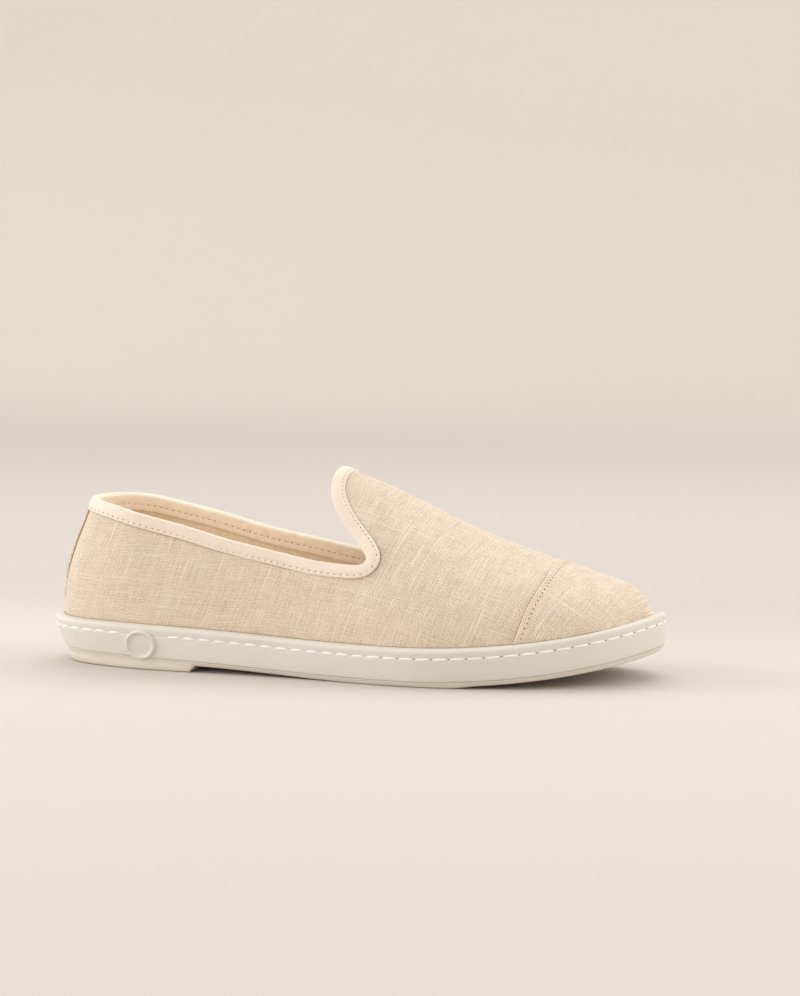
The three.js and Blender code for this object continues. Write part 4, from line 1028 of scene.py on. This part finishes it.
# ------------------------------------------------------------------ plain round badge
R = 7.95
bz = 11.7
by = float(Outline(lambda x: undercut(x) * 0.4).y(BADGE_X, -1))
oo = Outline(lambda x: 0.0)
tilt = math.atan2(float(oo.y(BADGE_X + 8, -1) - oo.y(BADGE_X - 8, -1)), 16)
lean = 0.1
nrm = np.array([math.sin(tilt) * math.cos(lean), -math.cos(tilt) * math.cos(lean), -math.sin(lean)])
ax = unit(np.cross(nrm, np.array([0, 0, 1.0])))
ay = np.cross(ax, nrm)
centre = np.array([BADGE_X, by, bz])
rad = [(R + 0.1, -0.8), (R, 0.1), (R - 0.06, 0.65), (R - 0.3, 1.05), (R - 0.75, 1.28), (R - 1.1, 1.32), (R - 1.5, 1.2), (R - 1.8, 0.9), (R - 2.0, 0.5), (R - 2.25, 0.22), (R - 2.9, 0.18), (R - 4.4, 0.24), (R - 6.2, 0.30), (0.01, 0.32)]
ang = np.linspace(0, 2 * math.pi, 72, endpoint=False)
badge_rows = np.array([[centre + r * (math.cos(a) * ax + 0.86 * math.sin(a) * ay) + hgt * nrm for a in ang] for r, hgt in rad])
bs = Shape()
bs.grid(badge_rows, wrap_cols=True)
badge = bs.build("plain_badge", [mat_sole], fix=True)

# ------------------------------------------------------------------ who replaces what
for obj, node, slot in ((upper, "upper", "linen"), (lining, "upper", "linen"), (toe_cap, "toe_cap", "linen_cap"), (heel_strip, "heel_strip", "linen_strip"),
                        (binding, "collar_binding", "binding_tape"), (cup_sole, "cup_sole", "sole_rubber"), (outsole, "outsole", "outsole_rubber"),
                        (insole, "insole", "footbed"), (badge, "side_badge", "badge_rubber")):
    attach(obj, "root")
    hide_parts(node)
for obj in (tape_thread, cap_thread, side_stitches):
    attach(obj, "root")

# ------------------------------------------------------------------ studio
FLOOR = (0.80, 0.745, 0.69)
m_floor, t_floor, b_floor = material("studio_paper", FLOOR, 0.9, spec=0.1)
w = Net(t_floor)
sep = w.node("ShaderNodeSeparateXYZ")
w.put(w.node("ShaderNodeNewGeometry").outputs["Position"], sep.inputs[0])
far = w.math("SQRT", w.math("ADD", w.math("POWER", sep.outputs[0], 2.0), w.math("POWER", sep.outputs[1], 2.0)))
# painted shade on the paper: darker near the middle than far out, and darker again just behind the shoe, to even out
# the lamps' light on the floor
near_c, far_c, behind = (0.615, 0.577, 0.54), (0.84, 0.785, 0.727), 0.865
paper = w.mix(w.ramp(far, 0.9, 3.2), near_c, far_c)
shade = w.mix(w.ramp(far, 0.9, 3.2), tuple(c * behind for c in near_c), tuple(c * behind for c in far_c))
back = w.math("MULTIPLY", w.ramp(sep.outputs[1], 0.05, 0.28), w.ramp(sep.outputs[1], 1.25, 2.0, 1.0, 0.0))
w.put(w.mix(back, paper, shade), b_floor.inputs["Base Color"])
prof = [(0.02, 0.0), (0.6, 0.0), (1.2, 0.0), (1.9, 0.0)] + [(1.9 + 1.5 * math.sin(a), 1.5 * (1 - math.cos(a))) for a in np.linspace(0, math.pi / 2, 26)[1:]] + [(3.4, 1.7)]
sweep_v, around_n = [], 96
for rr, zz in prof:
    for k in range(around_n):
        a = 2 * math.pi * k / around_n
        sweep_v.append((rr * math.cos(a), rr * math.sin(a), zz))
quads = [(i * around_n + k, i * around_n + (k + 1) % around_n, (i + 1) * around_n + (k + 1) % around_n, (i + 1) * around_n + k) for i in range(len(prof) - 1) for k in range(around_n)]
quads.append(tuple(range(around_n))[::-1])
me = bpy.data.meshes.new("studio_sweep")
me.from_pydata(sweep_v, [], [q[::-1] for q in quads])
me.polygons.foreach_set("use_smooth", [True] * len(quads))
me.materials.append(m_floor)
sweep = bpy.data.objects.new("studio_sweep", me)
bpy.context.scene.collection.objects.link(sweep)


def area(name, loc, aim, size, power, color):
    d = bpy.data.lights.new(name, "AREA")
    d.shape, d.size, d.size_y, d.energy, d.color = "RECTANGLE", size[0], size[1], power, color
    o = bpy.data.objects.new(name, d)
    o.location = loc
    o.rotation_euler = (Vector(aim) - Vector(loc)).to_track_quat("-Z", "Y").to_euler()
    bpy.context.scene.collection.objects.link(o)


area("overhead", (0.05, 0.95, 1.5), (0.0, 0.0, 0.0), (1.8, 1.0), 13, (1.0, 0.975, 0.955))
area("left", (-1.75, -0.30, 0.8), (-0.05, 0.0, 0.05), (1.1, 1.1), 17.5, (1.0, 0.98, 0.965))
area("right", (1.8, 0.25, 0.8), (0.05, 0.0, 0.05), (1.1, 1.2), 12.5, (1.0, 0.975, 0.955))
area("front_left", (-0.9, -2.0, 0.55), (0.0, 0.0, 0.04), (1.4, 0.9), 6.0, (1.0, 0.97, 0.945))
world = bpy.data.worlds.new("studio")
world.use_nodes = True
world.node_tree.nodes["Background"].inputs[0].default_value = (1.0, 0.96, 0.91, 1)
world.node_tree.nodes["Background"].inputs[1].default_value = 0.88
bpy.context.scene.world = world
bpy.context.scene.view_settings.view_transform = "Standard"
bpy.context.scene.view_settings.look = "None"

# ------------------------------------------------------------------ camera: the photograph's angle to the shoe
AZ, EL, ROLL, DIST, FPX = math.radians(18.02), math.radians(5.09), math.radians(-0.265), 1294.7, 2.2 * 1294.7
back = np.array([math.sin(AZ) * math.cos(EL), -math.cos(AZ) * math.cos(EL), math.sin(EL)])
fw = -back
r = unit(np.cross(fw, np.array([0, 0, 1.0])))
u = np.cross(r, fw)
target = np.array([LENGTH / 2, 0, 30.0]) + r * 22.684 + u * 47.237
eye = to_row(target + back * DIST)
r2 = r * math.cos(ROLL) + u * math.sin(ROLL)
u2 = -r * math.sin(ROLL) + u * math.cos(ROLL)
cam = bpy.data.cameras.new("camera")
cam.sensor_fit = "AUTO"
cam.sensor_width = 36.0
cam.lens = FPX * 36.0 / 996.0
cam.clip_start, cam.clip_end = 0.05, 30
co = bpy.data.objects.new("camera", cam)
from mathutils import Matrix
M = Matrix(((r2[0], u2[0], back[0], eye[0]), (r2[1], u2[1], back[1], eye[1]), (r2[2], u2[2], back[2], eye[2]), (0, 0, 0, 1)))
co.matrix_world = M
bpy.context.scene.collection.objects.link(co)
bpy.context.scene.camera = co
